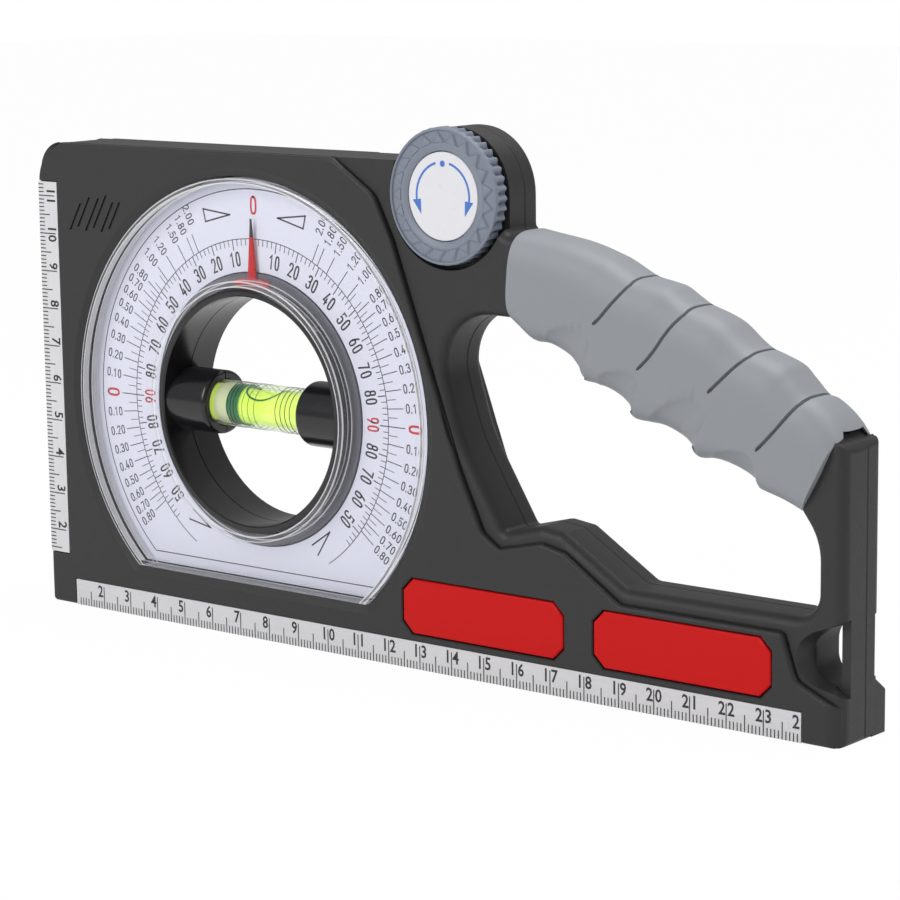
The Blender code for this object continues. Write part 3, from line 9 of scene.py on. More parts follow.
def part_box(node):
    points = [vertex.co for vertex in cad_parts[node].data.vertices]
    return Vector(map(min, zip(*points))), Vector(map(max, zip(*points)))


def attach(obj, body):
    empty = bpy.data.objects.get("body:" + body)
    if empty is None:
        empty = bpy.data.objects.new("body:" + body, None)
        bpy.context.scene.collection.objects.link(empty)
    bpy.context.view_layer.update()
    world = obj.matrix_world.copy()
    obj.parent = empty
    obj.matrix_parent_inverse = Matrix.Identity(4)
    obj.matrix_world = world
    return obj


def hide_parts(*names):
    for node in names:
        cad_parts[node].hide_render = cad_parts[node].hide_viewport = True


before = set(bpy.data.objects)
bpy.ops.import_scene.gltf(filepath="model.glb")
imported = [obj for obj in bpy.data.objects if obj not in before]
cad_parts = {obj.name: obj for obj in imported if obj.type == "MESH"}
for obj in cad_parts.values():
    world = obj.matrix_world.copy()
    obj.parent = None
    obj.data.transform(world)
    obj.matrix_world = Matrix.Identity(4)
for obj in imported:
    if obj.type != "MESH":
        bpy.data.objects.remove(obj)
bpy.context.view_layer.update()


# Front half of the case: a charcoal ABS moulding with a fine spark grain, a raised face panel,
# beds for the rulers and inserts, a scooped slot beside the post, and grip lines at the top left.
# Lengths are in millimetres from the left end, the front face and the underside of the base.
MM = 0.001
CASE_LENGTH, CASE_HEIGHT, CASE_DEPTH, SEAM = 249.8, 124.2, 20.0, 10.75
DIAL_X, DIAL_Z, COVER_RADIUS, COVER_FOOT = 72.9, 58.4, 59.4, 44.4
KNOB_X, KNOB_Z, BOSS_RADIUS = 139.238, 116.374, 16.1
DIAL, KNOB = (DIAL_X, DIAL_Z), (KNOB_X, KNOB_Z)
POST_X, BASE_HEIGHT = 242.6, 28.0
PANEL_STEP, FRAME_BACK, FRAME_ROUND, PANEL_ROUND = 1.4, 16.9, 2.6, 0.9
SEAM_DROP, SEAM_EASE = 0.3, 0.22
BEFORE, BEHIND = -2, 22
ARC_STEP = math.radians(6)
CHARCOAL = (0.028, 0.028, 0.0295)


def to_frame(x, y, z):
    """A place on the gauge, in millimetres, as a point of the shared frame in metres."""
    return ((x - CASE_LENGTH / 2) * MM, (y - CASE_DEPTH / 2) * MM, z * MM)


def added(name, data):
    """A new object of the scene."""
    item = bpy.data.objects.new(name, data)
    bpy.context.scene.collection.objects.link(item)
    return item


def built(name, builder):
    """An object from a mesh builder, which is used up."""
    mesh = bpy.data.meshes.new(name)
    builder.to_mesh(mesh)
    builder.free()
    return added(name, mesh)


def crisp(item, sharp=32):
    """Shade rounds smoothly and leave edges above an angle in degrees sharp."""
    item.data.shade_smooth()
    item.data.set_sharp_from_angle(angle=math.radians(sharp))
    return item


def moulding(name, builder):
    """An object from a mesh builder, with smooth rounds and crisp edges."""
    bmesh.ops.remove_doubles(builder, verts=builder.verts, dist=0.001 * MM)
    bmesh.ops.recalc_face_normals(builder, faces=builder.faces)
    return crisp(built(name, builder))


def loft(name, rings, closed=False):
    """A skin through rings of points in millimetres; closed rings form a torus."""
    builder = bmesh.new()
    rows = [[builder.verts.new(to_frame(*point)) for point in ring] for ring in rings]
    for near, far in zip(rows, rows[1:] + (rows[:1] if closed else [])):
        for index in range(len(near)):
            after = (index + 1) % len(near)
            builder.faces.new((near[index], near[after], far[after], far[index]))
    if not closed:
        builder.faces.new(rows[0])
        builder.faces.new(rows[-1])
    return moulding(name, builder)


def prism(name, levels, outline, centre=(0, 0)):
    """One outline stacked in depth; each level is a depth and an inset."""
    outlines = [outline(inset) for depth, inset in levels]
    kept = [index for index in range(len(outlines[0]))
            if any(math.dist(points[index], points[index - 1]) > 0.02 for points in outlines)]
    return loft(name, [[(centre[0] + points[index][0], depth, centre[1] + points[index][1])
                        for index in kept] for (depth, inset), points in zip(levels, outlines)])


def circle(radius, steps=120):
    """Points of a circle."""
    return [(radius * math.cos(math.tau * step / steps), radius * math.sin(math.tau * step / steps))
            for step in range(steps)]


def disc(radius, steps=120):
    """The outline of a disc at each inset, for a prism."""
    return lambda inset: circle(radius - inset, steps)


def bar(name, radius, start, end, centre, steps=120):
    """A plain round bar along the depth, for cutting."""
    return prism(name, [(start, 0), (end, 0)], disc(radius, steps), centre)


def polar(angle, radius):
    """A point by degrees clockwise from the top."""
    return radius * math.sin(math.radians(angle)), radius * math.cos(math.radians(angle))


def block(name, low, high):
    """A plain box, for cutting."""
    return loft(name, [[(low[0], y, low[2]), (high[0], y, low[2]), (high[0], y, high[2]),
                        (low[0], y, high[2])] for y in (low[1], high[1])])


def settle(item):
    """Turn an object's modifiers into its plain mesh."""
    graph = bpy.context.evaluated_depsgraph_get()
    mesh = bpy.data.meshes.new_from_object(item.evaluated_get(graph))
    item.modifiers.clear()
    item.data = mesh
    return item


def carve(item, *tools, operation="DIFFERENCE"):
    """Cut, join or intersect with guide shapes, which go away."""
    for tool in tools:
        change = item.modifiers.new("carve", "BOOLEAN")
        change.operation, change.solver, change.object = operation, "EXACT", tool
    settle(item)
    for tool in tools:
        bpy.data.objects.remove(tool)
    return item


def soften(item, sharp=32):
    """Shade rounds smoothly and keep flat faces flat."""
    change = crisp(item, sharp).modifiers.new("flats", "WEIGHTED_NORMAL")
    change.keep_sharp = True
    return settle(item)


def meet(point_a, run_a, point_b, run_b):
    """Where two lines cross."""
    cross = run_a.x * run_b.y - run_a.y * run_b.x
    span = point_b - point_a
    if abs(cross) < 1e-9 * run_a.length * run_b.length:
        return point_b
    return point_a + run_a * ((span.x * run_b.y - span.y * run_b.x) / cross)


def rounded(corners, inset=0.0):
    """Points of an outline of (x, z, radius, edge share) corners, inset and filleted."""
    plain = [Vector(corner[:2]) for corner in corners]
    count = len(plain)
    lines = []
    for index, corner in enumerate(corners):
        run = plain[(index + 1) % count] - plain[index]
        inward = Vector((-run.y, run.x)).normalized()
        share = corner[3] if len(corner) > 3 else 1
        lines.append((plain[index] + inward * inset * share, run))
    moved = [meet(*lines[index - 1], *lines[index]) for index in range(count)]
    reaches, bends = [], []
    for index in range(count):
        before = (plain[index] - plain[index - 1]).normalized()
        after = (plain[(index + 1) % count] - plain[index]).normalized()
        bend = math.atan2(before.x * after.y - before.y * after.x, before.dot(after))
        radius = corners[index][2]
        wanted = max(radius - inset * math.copysign(1, bend), radius * 0.05) if radius else 0
        bends.append(bend)
        reaches.append(wanted * math.tan(abs(bend) / 2))
    limits = []
    for index in range(count):
        span = (moved[(index + 1) % count] - moved[index]).length
        used = reaches[index] + reaches[(index + 1) % count]
        limits.append(min(1.0, 0.98 * span / used) if used > 0 else 1.0)
    points = []
    for index in range(count):
        reach = reaches[index] * min(limits[index], limits[index - 1])
        if not corners[index][2]:
            points.append(tuple(moved[index]))
            continue
        points += fillet(moved[index], moved[index - 1], moved[(index + 1) % count], reach, bends[index])
    return points


def filleted(corners):
    """The outline of filleted corners at each inset, for a prism."""
    return lambda inset: rounded(corners, inset)


def fillet(corner, previous, following, reach, bend):
    """Arc points that round one corner."""
    start = corner + (previous - corner).normalized() * reach
    end = corner + (following - corner).normalized() * reach
    steps = max(1, math.ceil(abs(bend) / ARC_STEP))
    run = (corner - start).normalized()
    side = Vector((-run.y, run.x)) * math.copysign(1, bend)
    centre = start + side * reach / math.tan(abs(bend) / 2)
    arm = start - centre
    points = [tuple(start)]
    for step in range(1, steps):
        angle = bend * step / steps
        points.append((centre.x + arm.x * math.cos(angle) - arm.y * math.sin(angle),
                       centre.y + arm.x * math.sin(angle) + arm.y * math.cos(angle)))
    return points + [tuple(end)]


def edge_levels(flat, radius, towards, steps=5):
    """Depths and insets of a rounded edge, from the flat face towards the seam."""
    angles = [math.pi / 2 * step / steps for step in range(steps + 1)]
    return [(flat + towards * radius * (1 - math.cos(angle)), radius * (1 - math.sin(angle)))
            for angle in angles]


def through(points, share):
    """A smooth curve through points, by a share of its length."""
    spans = [math.dist(a, b) for a, b in zip(points, points[1:])]
    reach = share * sum(spans)
    index = 0
    while index < len(spans) - 1 and reach > spans[index]:
        reach -= spans[index]
        index += 1
    t = min(1.0, reach / spans[index])
    before, start, end, after = (Vector(points[min(max(place, 0), len(points) - 1)])
                                 for place in (index - 1, index, index + 1, index + 2))
    return 0.5 * (2 * start + (end - before) * t + (2 * before - 5 * start + 4 * end - after) * t ** 2
                  + (3 * start - before - 3 * end + after) * t ** 3)


def at(length_share, height_share, round_share=None):
    """A place as shares of the handle length past the dial and of the case height."""
    place = DIAL_X + COVER_RADIUS + length_share * 117.5, height_share * CASE_HEIGHT
    return place if round_share is None else (*place, round_share * CASE_HEIGHT)


SWEEP = 0.48 * CASE_HEIGHT
CORE_TOP = (at(0.2315, 0.8519), at(0.406, 0.8253), at(0.7634, 0.6844), at(0.9779, 0.562))
CORE_FOOT = (at(0.2153, 0.7287), at(0.3762, 0.6353), at(0.6443, 0.5209), at(0.9038, 0.4388))
NECK_TOP, POST_TOP = at(0.2315, 0.8688), at(0.9872, 0.5725)
NECK_FOOT, POST_INSIDE = at(0.2136, 0.7126), at(0.8945, 0.4235)
TOP_MIDDLE = (at(0.7634, 0.7037), at(0.406, 0.8446))
FOOT_MIDDLE = (at(0.634, 0.4984), at(0.3651, 0.6135))
SILHOUETTE = [
    (0, 0, 1.2, 0), (CASE_LENGTH, 0, 1.2), (CASE_LENGTH, 0.5652 * CASE_HEIGHT, 2.4), (*POST_TOP, 0),
    *((*place, SWEEP) for place in TOP_MIDDLE), (*NECK_TOP, 0),
    (KNOB_X + BOSS_RADIUS, NECK_TOP[1], 2), (KNOB_X + BOSS_RADIUS, KNOB_Z + BOSS_RADIUS, BOSS_RADIUS),
    (KNOB_X - 0.5317 * BOSS_RADIUS, KNOB_Z + BOSS_RADIUS, BOSS_RADIUS),
    (KNOB_X - 14.14, CASE_HEIGHT, 1.2, 0), (0, CASE_HEIGHT, 10.5, 0)]
FINGER_OPENING = [
    at(0.1957, 0.2995, 0.012), at(0.2868, 0.3213, 0.024), at(0.3421, 0.3148, 0.016),
    (at(0.4979, 0)[0], BASE_HEIGHT, 4), (POST_X, BASE_HEIGHT, 6),
    (POST_X, 45.7, 14), (*POST_INSIDE, 0),
    *((*place, SWEEP) for place in FOOT_MIDDLE), (*NECK_FOOT, 0),
    at(0.0026, 0.7158, 0.105), at(0.0817, 0.4718, 0.32)]
FACE_PANEL = [
    (0.1, 0.1, 1.2), (CASE_LENGTH - 0.6, 0.1, 1.2), (CASE_LENGTH - 0.6, 0.0725 * CASE_HEIGHT, 0),
    at(0.8996, 0.1127, 0.03), at(0.8698, 0.1965, 0.01), at(0.4911, 0.1973, 0.03),
    at(0.3549, 0.2802, 0.02), at(0.297, 0.2915, 0.02), at(0.1889, 0.2681, 0.012),
    at(0.1472, 0.2947, 0.03), at(0.0868, 0.413, 0.25), at(-0.0826, 0.8454, 0.1),
    at(-0.1302, 0.9324, 0.065), (at(-0.2409, 0)[0], CASE_HEIGHT - 0.1, 5.25),
    (0.1, CASE_HEIGHT - 0.1, 10.5)]
SLOT = [(240.5, 12.9, 6), (247.4, 12.9, 1.1), (247.4, 27.2, 1.1), (240.5, 27.2, 7)]
SLOT_MOUTH = [(247.5, 27.6), (244.2, 26.2), (242, 25.3), (239.4, 23.4), (238.1, 21.3), (237.8, 19),
              (238.2, 16.8), (240, 14.8), (242.1, 13.4), (245, 12.7), (247.5, 12.3)]
SLOT_THROAT = [(247.5, 27.1), (245.7, 26.6), (243.6, 25.2), (241.8, 23.6), (240.9, 22.3), (240.6, 20),
               (240.8, 18), (241.6, 16.4), (243, 14.9), (245, 13.8), (247.5, 13.2)]
POST_SEAM = [(237.3, 49.6), (239.1, 52.9), (241.4, 56.9), (243.4, 60.5), (245.3, 64.4), (246.6, 67),
             (247.4, 68.6)]
POST_CROWN = [(239, 74), (243.5, 71.2), (245.7, 69.3), (247.4, 67.8), (248.3, 67.6), (249.1, 66.9),
              (249.6, 66.1), (249.9, 65), (254, 64.6), (254, 80), (239, 80)]
CORE_ROOM = 7.2
SLEEVE_ROOM = [(NECK_FOOT[0] - 0.2, NECK_FOOT[1] - 2), *(Vector(place) - Vector((0, CORE_ROOM)) for place
               in reversed(FOOT_MIDDLE)), *POST_SEAM, (247.4, 80),
               *(Vector(place) + Vector((0, CORE_ROOM)) for place in TOP_MIDDLE),
               (NECK_TOP[0] + 0.3, NECK_TOP[1] + 2)]


def node_spot(node):
    """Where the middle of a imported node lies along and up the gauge, in millimetres."""
    low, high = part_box(node)
    middle = (low + high) / 2 / MM
    return middle[0] + CASE_LENGTH / 2, middle[2]


SCREW_NODES = ["screw_" + name for name in ("top_left", "bottom_left", "top_right", "beside_dial",
                                            "base_middle", "base_end", "neck", "post_top")]
CASE_SCREWS = [node_spot(node) for node in SCREW_NODES]
IDLER = node_spot("idler_gear")


def handle_core(name, spread):
    """The bar of case plastic inside the grip sleeve."""
    ends = [*reversed(CORE_TOP), *CORE_FOOT]
    for end, inner in ((0, 1), (3, 2), (4, 5), (7, 6)):
        run = Vector(ends[end]) - Vector(ends[inner])
        ends[end] = tuple(Vector(ends[end]) + run.normalized() * CORE_ROOM)
    corners = [(*place, SWEEP if index in (1, 2, 5, 6) else 0) for index, place in enumerate(ends)]
    return prism(name, [(2.6 - spread, 2.5 - spread), (5.1, -spread), (13.2, -spread),
                        (15.7 + spread, 2.5 - spread)], filleted(corners))


def sleeve_room():
    """The room that the grip sleeve fills round its core, for cutting."""
    room = prism("sleeve_room", [(BEFORE, 0), (BEHIND, 0)],
                 lambda inset: [tuple(place) for place in SLEEVE_ROOM])
    return carve(room, handle_core("core", 0))


def post_crown():
    """The room above the top of the post, for cutting."""
    return prism("post_crown", [(-1, 0), (BEHIND, 0)], lambda inset: POST_CROWN)


def dial_outline(spread=0.0, steps=200):
    """Circle of the dial cover cut off by its flat foot."""
    radius, foot = COVER_RADIUS + spread, -COVER_FOOT - spread
    half = math.acos(-foot / radius)
    angles = [half - math.pi / 2 + (math.tau - 2 * half) * step / steps for step in range(steps + 1)]
    return [(radius * math.cos(angle), radius * math.sin(angle)) for angle in angles]


def octagon(start, end, spread):
    """Outline of a coloured insert with cut corners."""
    low, high, cut = 9.0 - spread, 22.6 + spread, 3.0
    left, right = start - spread, end + spread
    return [(left + cut, low), (right - cut, low), (right, low + cut), (right, high - cut),
            (right - cut, high), (left + cut, high), (left, high - cut), (left, low + cut)]


INSERTS = [(124.8, 173.8), (182.7, 231.7)]
RULERS = [(9.2, BEFORE, 0.12, 240.2, 1.1, 7.4), (0.12, BEFORE, 13.6, 7.4, 1.1, 114.0)]
RING_WAY, KNOB_ROOM, GEAR_FLOOR = 35.3, 17.7, 8.1
GROOVE_DROP, GROOVE_WIDTH = 0.35, 0.45
rounds = edge_levels(PANEL_STEP, FRAME_ROUND, 1)
case_front = prism("case_front", rounds + [(SEAM - SEAM_DROP, 0), (SEAM, SEAM_EASE)],
                   filleted(SILHOUETTE))
carve(case_front, prism("ridge_groove", [(BEFORE, -GROOVE_WIDTH),
                                         (PANEL_STEP + GROOVE_DROP, -GROOVE_WIDTH)],
                        filleted(FACE_PANEL)))
carve(case_front, prism("face_panel", edge_levels(0, PANEL_ROUND, 1, 4) + [(5, 0)],
                        filleted(FACE_PANEL)), operation="UNION")
carve(case_front, prism("opening", [(-1, -FRAME_ROUND), *((depth, -inset) for depth, inset in rounds),
                                    (SEAM - SEAM_DROP, 0), (SEAM, -SEAM_EASE), (SEAM + 1, -SEAM_EASE)],
                        filleted(FINGER_OPENING)))
carve(case_front, prism("dial_pocket", [(BEFORE, 2.5), (0, 2.5), (0.12, 2.3), (0.8, 0.55), (0.95, 0.3),
                                        (6.7, 0.3)], dial_outline, DIAL),
      bar("drum_way", RING_WAY, 0, 12, DIAL),
      bar("knob_pocket", KNOB_ROOM, BEFORE, 5, KNOB),
      prism("slot", [(5, 0), (12, 0)], filleted(SLOT)))
MOUTH_LEVELS = ((-1, -0.12), (1.2, -0.12), (1.6, 0.02), (3.2, 0.55), (4.6, 0.85), (6, 1), (7, 1))
mouth, throat = ([tuple(through(points, step / 30)) for step in range(31)]
                 for points in (SLOT_MOUTH, SLOT_THROAT))
carve(case_front, loft("slot_mouth", [[(a[0] + (b[0] - a[0]) * share, depth,
                                        a[1] + (b[1] - a[1]) * share)
                                       for a, b in zip(mouth, throat)]
                                      for depth, share in MOUTH_LEVELS]))
SLOT_SIDE = [(246.5, 27.2), (251.5, 29.35), (251.5, 9.9), (246.5, 12.9)]
carve(case_front, prism("slot_side", [(-1, 0), (4.6, 0)], lambda inset: SLOT_SIDE))
for start, end in INSERTS:
    carve(case_front, prism("insert_bed", [(-1, 0.55), (0, 0.55), (0.3, 0.3), (1.6, 0.3)],
                            lambda inset: octagon(start, end, inset)))
for box in RULERS:
    carve(case_front, block("ruler_bed", box[:3], box[3:]))
carve(case_front, block("base_lip", (9.2, BEFORE, -1), (240.2, 1.1, 7.2)),
      block("side_lip", (-1, BEFORE, 13.6), (7.2, 1.1, 114.0)))
carve(case_front, sleeve_room(), post_crown())
GRIP_LEAN, GRIP_HALF = Vector((0.5, 0.866)), Vector((0.42, 0))
for step in range(6):
    foot = Vector((12 + 2.9 * step, 101.5 + 0.9 * (step % 2)))
    head = foot + GRIP_LEAN * (10.5 - 0.9 * abs(step - 2.5))
    shape = [tuple(place) for place in (foot - GRIP_HALF, foot + GRIP_HALF, head + GRIP_HALF,
                                        head - GRIP_HALF)]
    carve(case_front, loft("grip_line", [[(x, y, z) for x, z in shape] for y in (-1, 0.4)]))


def foot_round(name, depth, towards, radius, top):
    """Room outside a rounded upright edge of the foot, for cutting."""
    arc = [(CASE_LENGTH - radius + radius * math.sin(angle),
            depth + towards * radius * (1 - math.cos(angle)))
           for angle in (math.pi / 2 * step / 8 for step in range(9))]
    outline = arc + [(CASE_LENGTH + 3, depth + towards * radius), (CASE_LENGTH + 3, depth - towards * 3),
                     (CASE_LENGTH - radius, depth - towards * 3)]
    return loft(name, [[(x, y, z) for x, y in outline] for z in (-2, top)])


carve(case_front, foot_round("foot_round", 0, 1, 4.2, 9.6))
GEAR_ROOMS = [(DIAL, 41.6), (IDLER, 19.6), (KNOB, 13.6)]
for place, radius in GEAR_ROOMS:
    carve(case_front, bar("gear_room", radius, GEAR_FLOOR, 12, place, 60))
carve(case_front, bar("hub_room", 5.4, 6.9, 12, KNOB, 40))
MAGNET_GROOVES = [(13.7, 119.2), (130.6, 236.1)]
for start, end in MAGNET_GROOVES:
    carve(case_front, block("magnet_groove", (start, 5.5, -1), (end, 12, 1.5)))
soften(case_front)


class Value:
    """A socket of a node tree that can be used in plain arithmetic; each operator adds one node."""

    def __init__(self, tree, socket):
        self.tree, self.socket = tree, socket

    def math(self, operation, first, second):
        return self.tree.node("ShaderNodeMath", {"operation": operation}, {0: first, 1: second})

    def __add__(self, other):
        return self.math("ADD", self, other)

    def __mul__(self, other):
        return self.math("MULTIPLY", self, other)

    def __sub__(self, other):
        return self.math("SUBTRACT", self, other)


class Nodes:
    """A node tree that is filled by one generic method."""

    def __init__(self, tree):
        self.tree = tree

    def node(self, kind, settings=None, inputs=None, output=0):
        """Add a node: its settings first, then the values or links of its sockets."""
        made = self.tree.nodes.new(kind)
        for key, value in (settings or {}).items():
            setattr(made, key, value)
        for key, value in (inputs or {}).items():
            if isinstance(value, Value):
                self.tree.links.new(value.socket, made.inputs[key])
            else:
                made.inputs[key].default_value = value
        return Value(self, made.outputs[output])

    def blend(self, share, first, second):
        """Mix two colours."""
        return self.node("ShaderNodeMix", {"data_type": "RGBA"}, {0: share, 6: first, 7: second}, 2)

    def fill(self, key, value):
        """Feed one socket of the surface shader."""
        shader = self.tree.nodes["Principled BSDF"]
        if isinstance(value, Value):
            self.tree.links.new(value.socket, shader.inputs[key])
        else:
            shader.inputs[key].default_value = value

    def noise(self, scale, detail, roughness=0.5, place=None):
        """Noise on the object's own coordinates, or on a place that is given."""
        place = place or self.node("ShaderNodeTexCoord", output=3)
        return self.node("ShaderNodeTexNoise", None, {"Vector": place, "Scale": scale, "Detail": detail,
                                                      "Roughness": roughness})

    def bump(self, strength, height, relief):
        """Small relief of a depth in millimetres."""
        self.fill("Normal", self.node("ShaderNodeBump", None, {
            "Strength": strength, "Distance": relief * MM, "Height": height}))

    def cover(self, share, other, over):
        """Make the output a mix of the surface shader and another; over gives the share to the other."""
        surface = Value(self, self.tree.nodes["Principled BSDF"].outputs[0])
        first, second = (surface, other) if over else (other, surface)
        mixed = self.node("ShaderNodeMixShader", None, {0: share, 1: first, 2: second})
        self.tree.links.new(mixed.socket, self.tree.nodes["Material Output"].inputs[0])


def paint(name):
    """A new material and its node tree."""
    made = bpy.data.materials.new(name)
    made.use_nodes = True
    return made, Nodes(made.node_tree)


def shade(color, share):
    """A colour times a share, as a socket value."""
    return (*(part * share for part in color), 1)


def moulded(name, color, roughness, grain, relief, clouds=0.08, specular=0.5):
    """Injection-moulded plastic: spark grain of a given size in millimetres, with faint clouding."""
    made, tree = paint(name)
    fine, broad, scuff = tree.noise(1 / (grain * MM), 3, 0.6), tree.noise(45, 4), tree.noise(320, 6, 0.75)
    mottle = (broad - 0.5) * clouds * 4 + (fine - 0.5) * clouds * 2 + 0.5
    tree.fill("Base Color", tree.blend(mottle, shade(color, 1 - 2 * clouds), shade(color, 1 + 2 * clouds)))
    tree.fill("Roughness", (fine - 0.5) * 0.12 + (scuff - 0.5) * 0.16 + roughness)
    tree.fill("Specular IOR Level", specular)
    tree.bump(1, fine, relief)
    return made


def dress(item, finish, body, slot=None, *nodes):
    """Give a piece its material, the body that it rides on and the nodes that it stands for."""
    item.data.materials.clear()
    item.data.materials.append(finish)
    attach(item, body)
    if nodes:
        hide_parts(*nodes)
    return item


case_plastic = moulded("case_plastic", CHARCOAL, 0.46, 0.4, 0.085, specular=0.35)
dress(case_front, case_plastic, "housing", "case", "front_shell")

# Rear half of the case: the same charcoal moulding, with the bearing for the drum, a well for
# each screw, a recess behind the knob, and a foot below the post whose top slopes to the rear.
rear_rounds = edge_levels(FRAME_BACK, FRAME_ROUND, -1)[::-1]
SLOPE_START, STEP_HEIGHT = 238.5, 13.6
FOOT_SLOPE = ((13.5, STEP_HEIGHT), (14.5, STEP_HEIGHT), (18.6, 10.6), (19.5, 9.8), (19.9, 9.2), (20, 8.4))
case_rear = prism("case_rear", [(SEAM, SEAM_EASE), (SEAM + SEAM_DROP, 0)] + rear_rounds,
                  filleted(SILHOUETTE))
carve(case_rear, prism("rear_groove", [(FRAME_BACK - GROOVE_DROP, -GROOVE_WIDTH),
                                       (BEHIND, -GROOVE_WIDTH)], filleted(FACE_PANEL)))
carve(case_rear, prism("rear_panel", [(13, 0)] + edge_levels(CASE_DEPTH, PANEL_ROUND, -1, 4)[::-1],
                       filleted(FACE_PANEL)), operation="UNION")
carve(case_rear, prism("opening", [(SEAM - 1, -SEAM_EASE), (SEAM, -SEAM_EASE), (SEAM + SEAM_DROP, 0),
                                   *((depth, -inset) for depth, inset in rear_rounds),
                                   (BEHIND, -FRAME_ROUND)], filleted(FINGER_OPENING)))
carve(case_rear, bar("bore_mouth", 32.6, 19.55, BEHIND, DIAL),
      bar("bore", 31.7, 9, BEHIND, DIAL),
      bar("knob_recess", KNOB_ROOM, 15.2, BEHIND, KNOB),
      block("post_step", (POST_X - 8.6, 14.5, STEP_HEIGHT), (CASE_LENGTH + 2, BEHIND, 28.2)))
carve(case_rear, loft("foot_slope", [[(SLOPE_START, y, z), (CASE_LENGTH, y, z), (CASE_LENGTH, y, 0.3),
                                      (SLOPE_START, y, 0.3)] for y, z in FOOT_SLOPE]),
      operation="UNION")
carve(case_rear, prism("slot", [(SEAM - 1, 0), (BEHIND, 0)], filleted(SLOT)))
carve(case_rear, sleeve_room(), post_crown())
carve(case_rear, foot_round("foot_round", CASE_DEPTH, -1, 1.2, STEP_HEIGHT))
for place, radius in GEAR_ROOMS:
    carve(case_rear, bar("gear_room", radius, 9, 14.0, place, 60))
carve(case_rear, bar("flange_room", 34.4, 9, 15.9, DIAL),
      bar("shaft_way", 2.8, 9, BEHIND, KNOB, 40))
for place in CASE_SCREWS:
    carve(case_rear, prism("well", [(13.9, 0), (19.6, 0), (20.1, -0.5), (BEHIND, -0.5)],
                           disc(3.0, 48), place))
for start, end in MAGNET_GROOVES:
    carve(case_rear, block("magnet_groove", (start, 9, -1), (end, 14.5, 1.5)))
soften(case_rear)
dress(case_rear, case_plastic, "housing", "case", "rear_shell")

# Magnet strips let into the underside, two bars of dark sintered magnet, a little rough and
# chipped, glued in their grooves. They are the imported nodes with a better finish.
magnet_finish = moulded("magnet_black", (0.03, 0.028, 0.027), 0.55, 0.5, 0.03, clouds=0.2)
for name in ("magnet_strip_left", "magnet_strip_right", "friction_washer"):
    dress(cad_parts[name], magnet_finish, "housing")

# Rulers: thin aluminium plates with a fine brushed grain along them, let into the front face,
# and printed in black in centimetres, half centimetres and millimetres.


def brushed(name, color, roughness, along, metallic=1.0):
    """Brushed metal with its scratches drawn out along one axis."""
    made, tree = paint(name)
    place = tree.node("ShaderNodeTexCoord", output=3)
    stretched = tree.node("ShaderNodeMapping", None, {"Vector": place, "Scale": along})
    lines, broad = tree.noise(1, 5, 0.65, stretched), tree.noise(70, 3)
    tree.fill("Base Color", tree.blend((lines - 0.5) * 0.9 + (broad - 0.5) * 0.4 + 0.5,
                                       shade(color, 0.88), shade(color, 1.1)))
    tree.fill("Metallic", metallic)
    tree.fill("Roughness", (lines - 0.5) * 0.18 + roughness)
    tree.bump(0.5, lines, 0.012)
    return made


ruler_finish = brushed("ruler_aluminium", (0.72, 0.72, 0.735), 0.45, (60, 60, 4200), 0.1)
side_finish = brushed("side_ruler_aluminium", (0.72, 0.72, 0.735), 0.45, (4200, 60, 60), 0.1)
dress(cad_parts["base_ruler"], ruler_finish, "housing")
dress(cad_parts["side_ruler"], side_finish, "housing")


def repeat_tree():
    """Geometry nodes that set a piece at each point, turned about the depth axis and sized."""
    group = bpy.data.node_groups.new("repeat_piece", "GeometryNodeTree")
    for name, kind in (("Points", "NodeSocketGeometry"), ("Piece", "NodeSocketObject"),
                       ("Finish", "NodeSocketMaterial")):
        group.interface.new_socket(name, in_out="INPUT", socket_type=kind)
    group.interface.new_socket("Pieces", in_out="OUTPUT", socket_type="NodeSocketGeometry")
    tree = Nodes(group)
    given = group.nodes.new("NodeGroupInput")
    points, piece, finish = (Value(tree, given.outputs[index]) for index in range(3))
    shape = tree.node("GeometryNodeObjectInfo", None, {"Object": piece}, "Geometry")
    turn = tree.node("GeometryNodeInputNamedAttribute", {"data_type": "FLOAT"}, {"Name": "turn"})
    sizes = tree.node("GeometryNodeInputNamedAttribute", {"data_type": "FLOAT_VECTOR"},
                      {"Name": "size"})
    spin = tree.node("ShaderNodeCombineXYZ", None, {"Y": turn})
    set_out = tree.node("GeometryNodeInstanceOnPoints", None, {"Points": points, "Instance": shape,
                                                              "Rotation": spin, "Scale": sizes})
    real = tree.node("GeometryNodeRealizeInstances", None, {"Geometry": set_out})
    done = tree.node("GeometryNodeSetMaterial", None, {"Geometry": real, "Material": finish})
    group.links.new(done.socket, group.nodes.new("NodeGroupOutput").inputs[0])
    return group


REPEAT = repeat_tree()


def repeated(name, piece, places, finish):
    """The piece at each place, given as a point in millimetres, a turn and its three sizes."""
    mesh = bpy.data.meshes.new(name)
    mesh.from_pydata([to_frame(*point) for point, turn, sizes in places], [], [])
    mesh.attributes.new("turn", "FLOAT", "POINT").data.foreach_set(
        "value", [turn for point, turn, sizes in places])
    mesh.attributes.new("size", "FLOAT_VECTOR", "POINT").data.foreach_set(
        "vector", [part for point, turn, sizes in places for part in sizes])
    item = added(name, mesh)
    change = item.modifiers.new("repeat", "NODES")
    change.node_group = REPEAT
    sockets = {socket.name: socket.identifier for socket in REPEAT.interface.items_tree
               if socket.in_out == "INPUT"}
    change[sockets["Piece"]], change[sockets["Finish"]] = piece, finish
    settle(item)
    bpy.data.objects.remove(piece)
    for layer in list(item.data.attributes):
        if layer.name in ("turn", "size"):
            item.data.attributes.remove(layer)
    return item


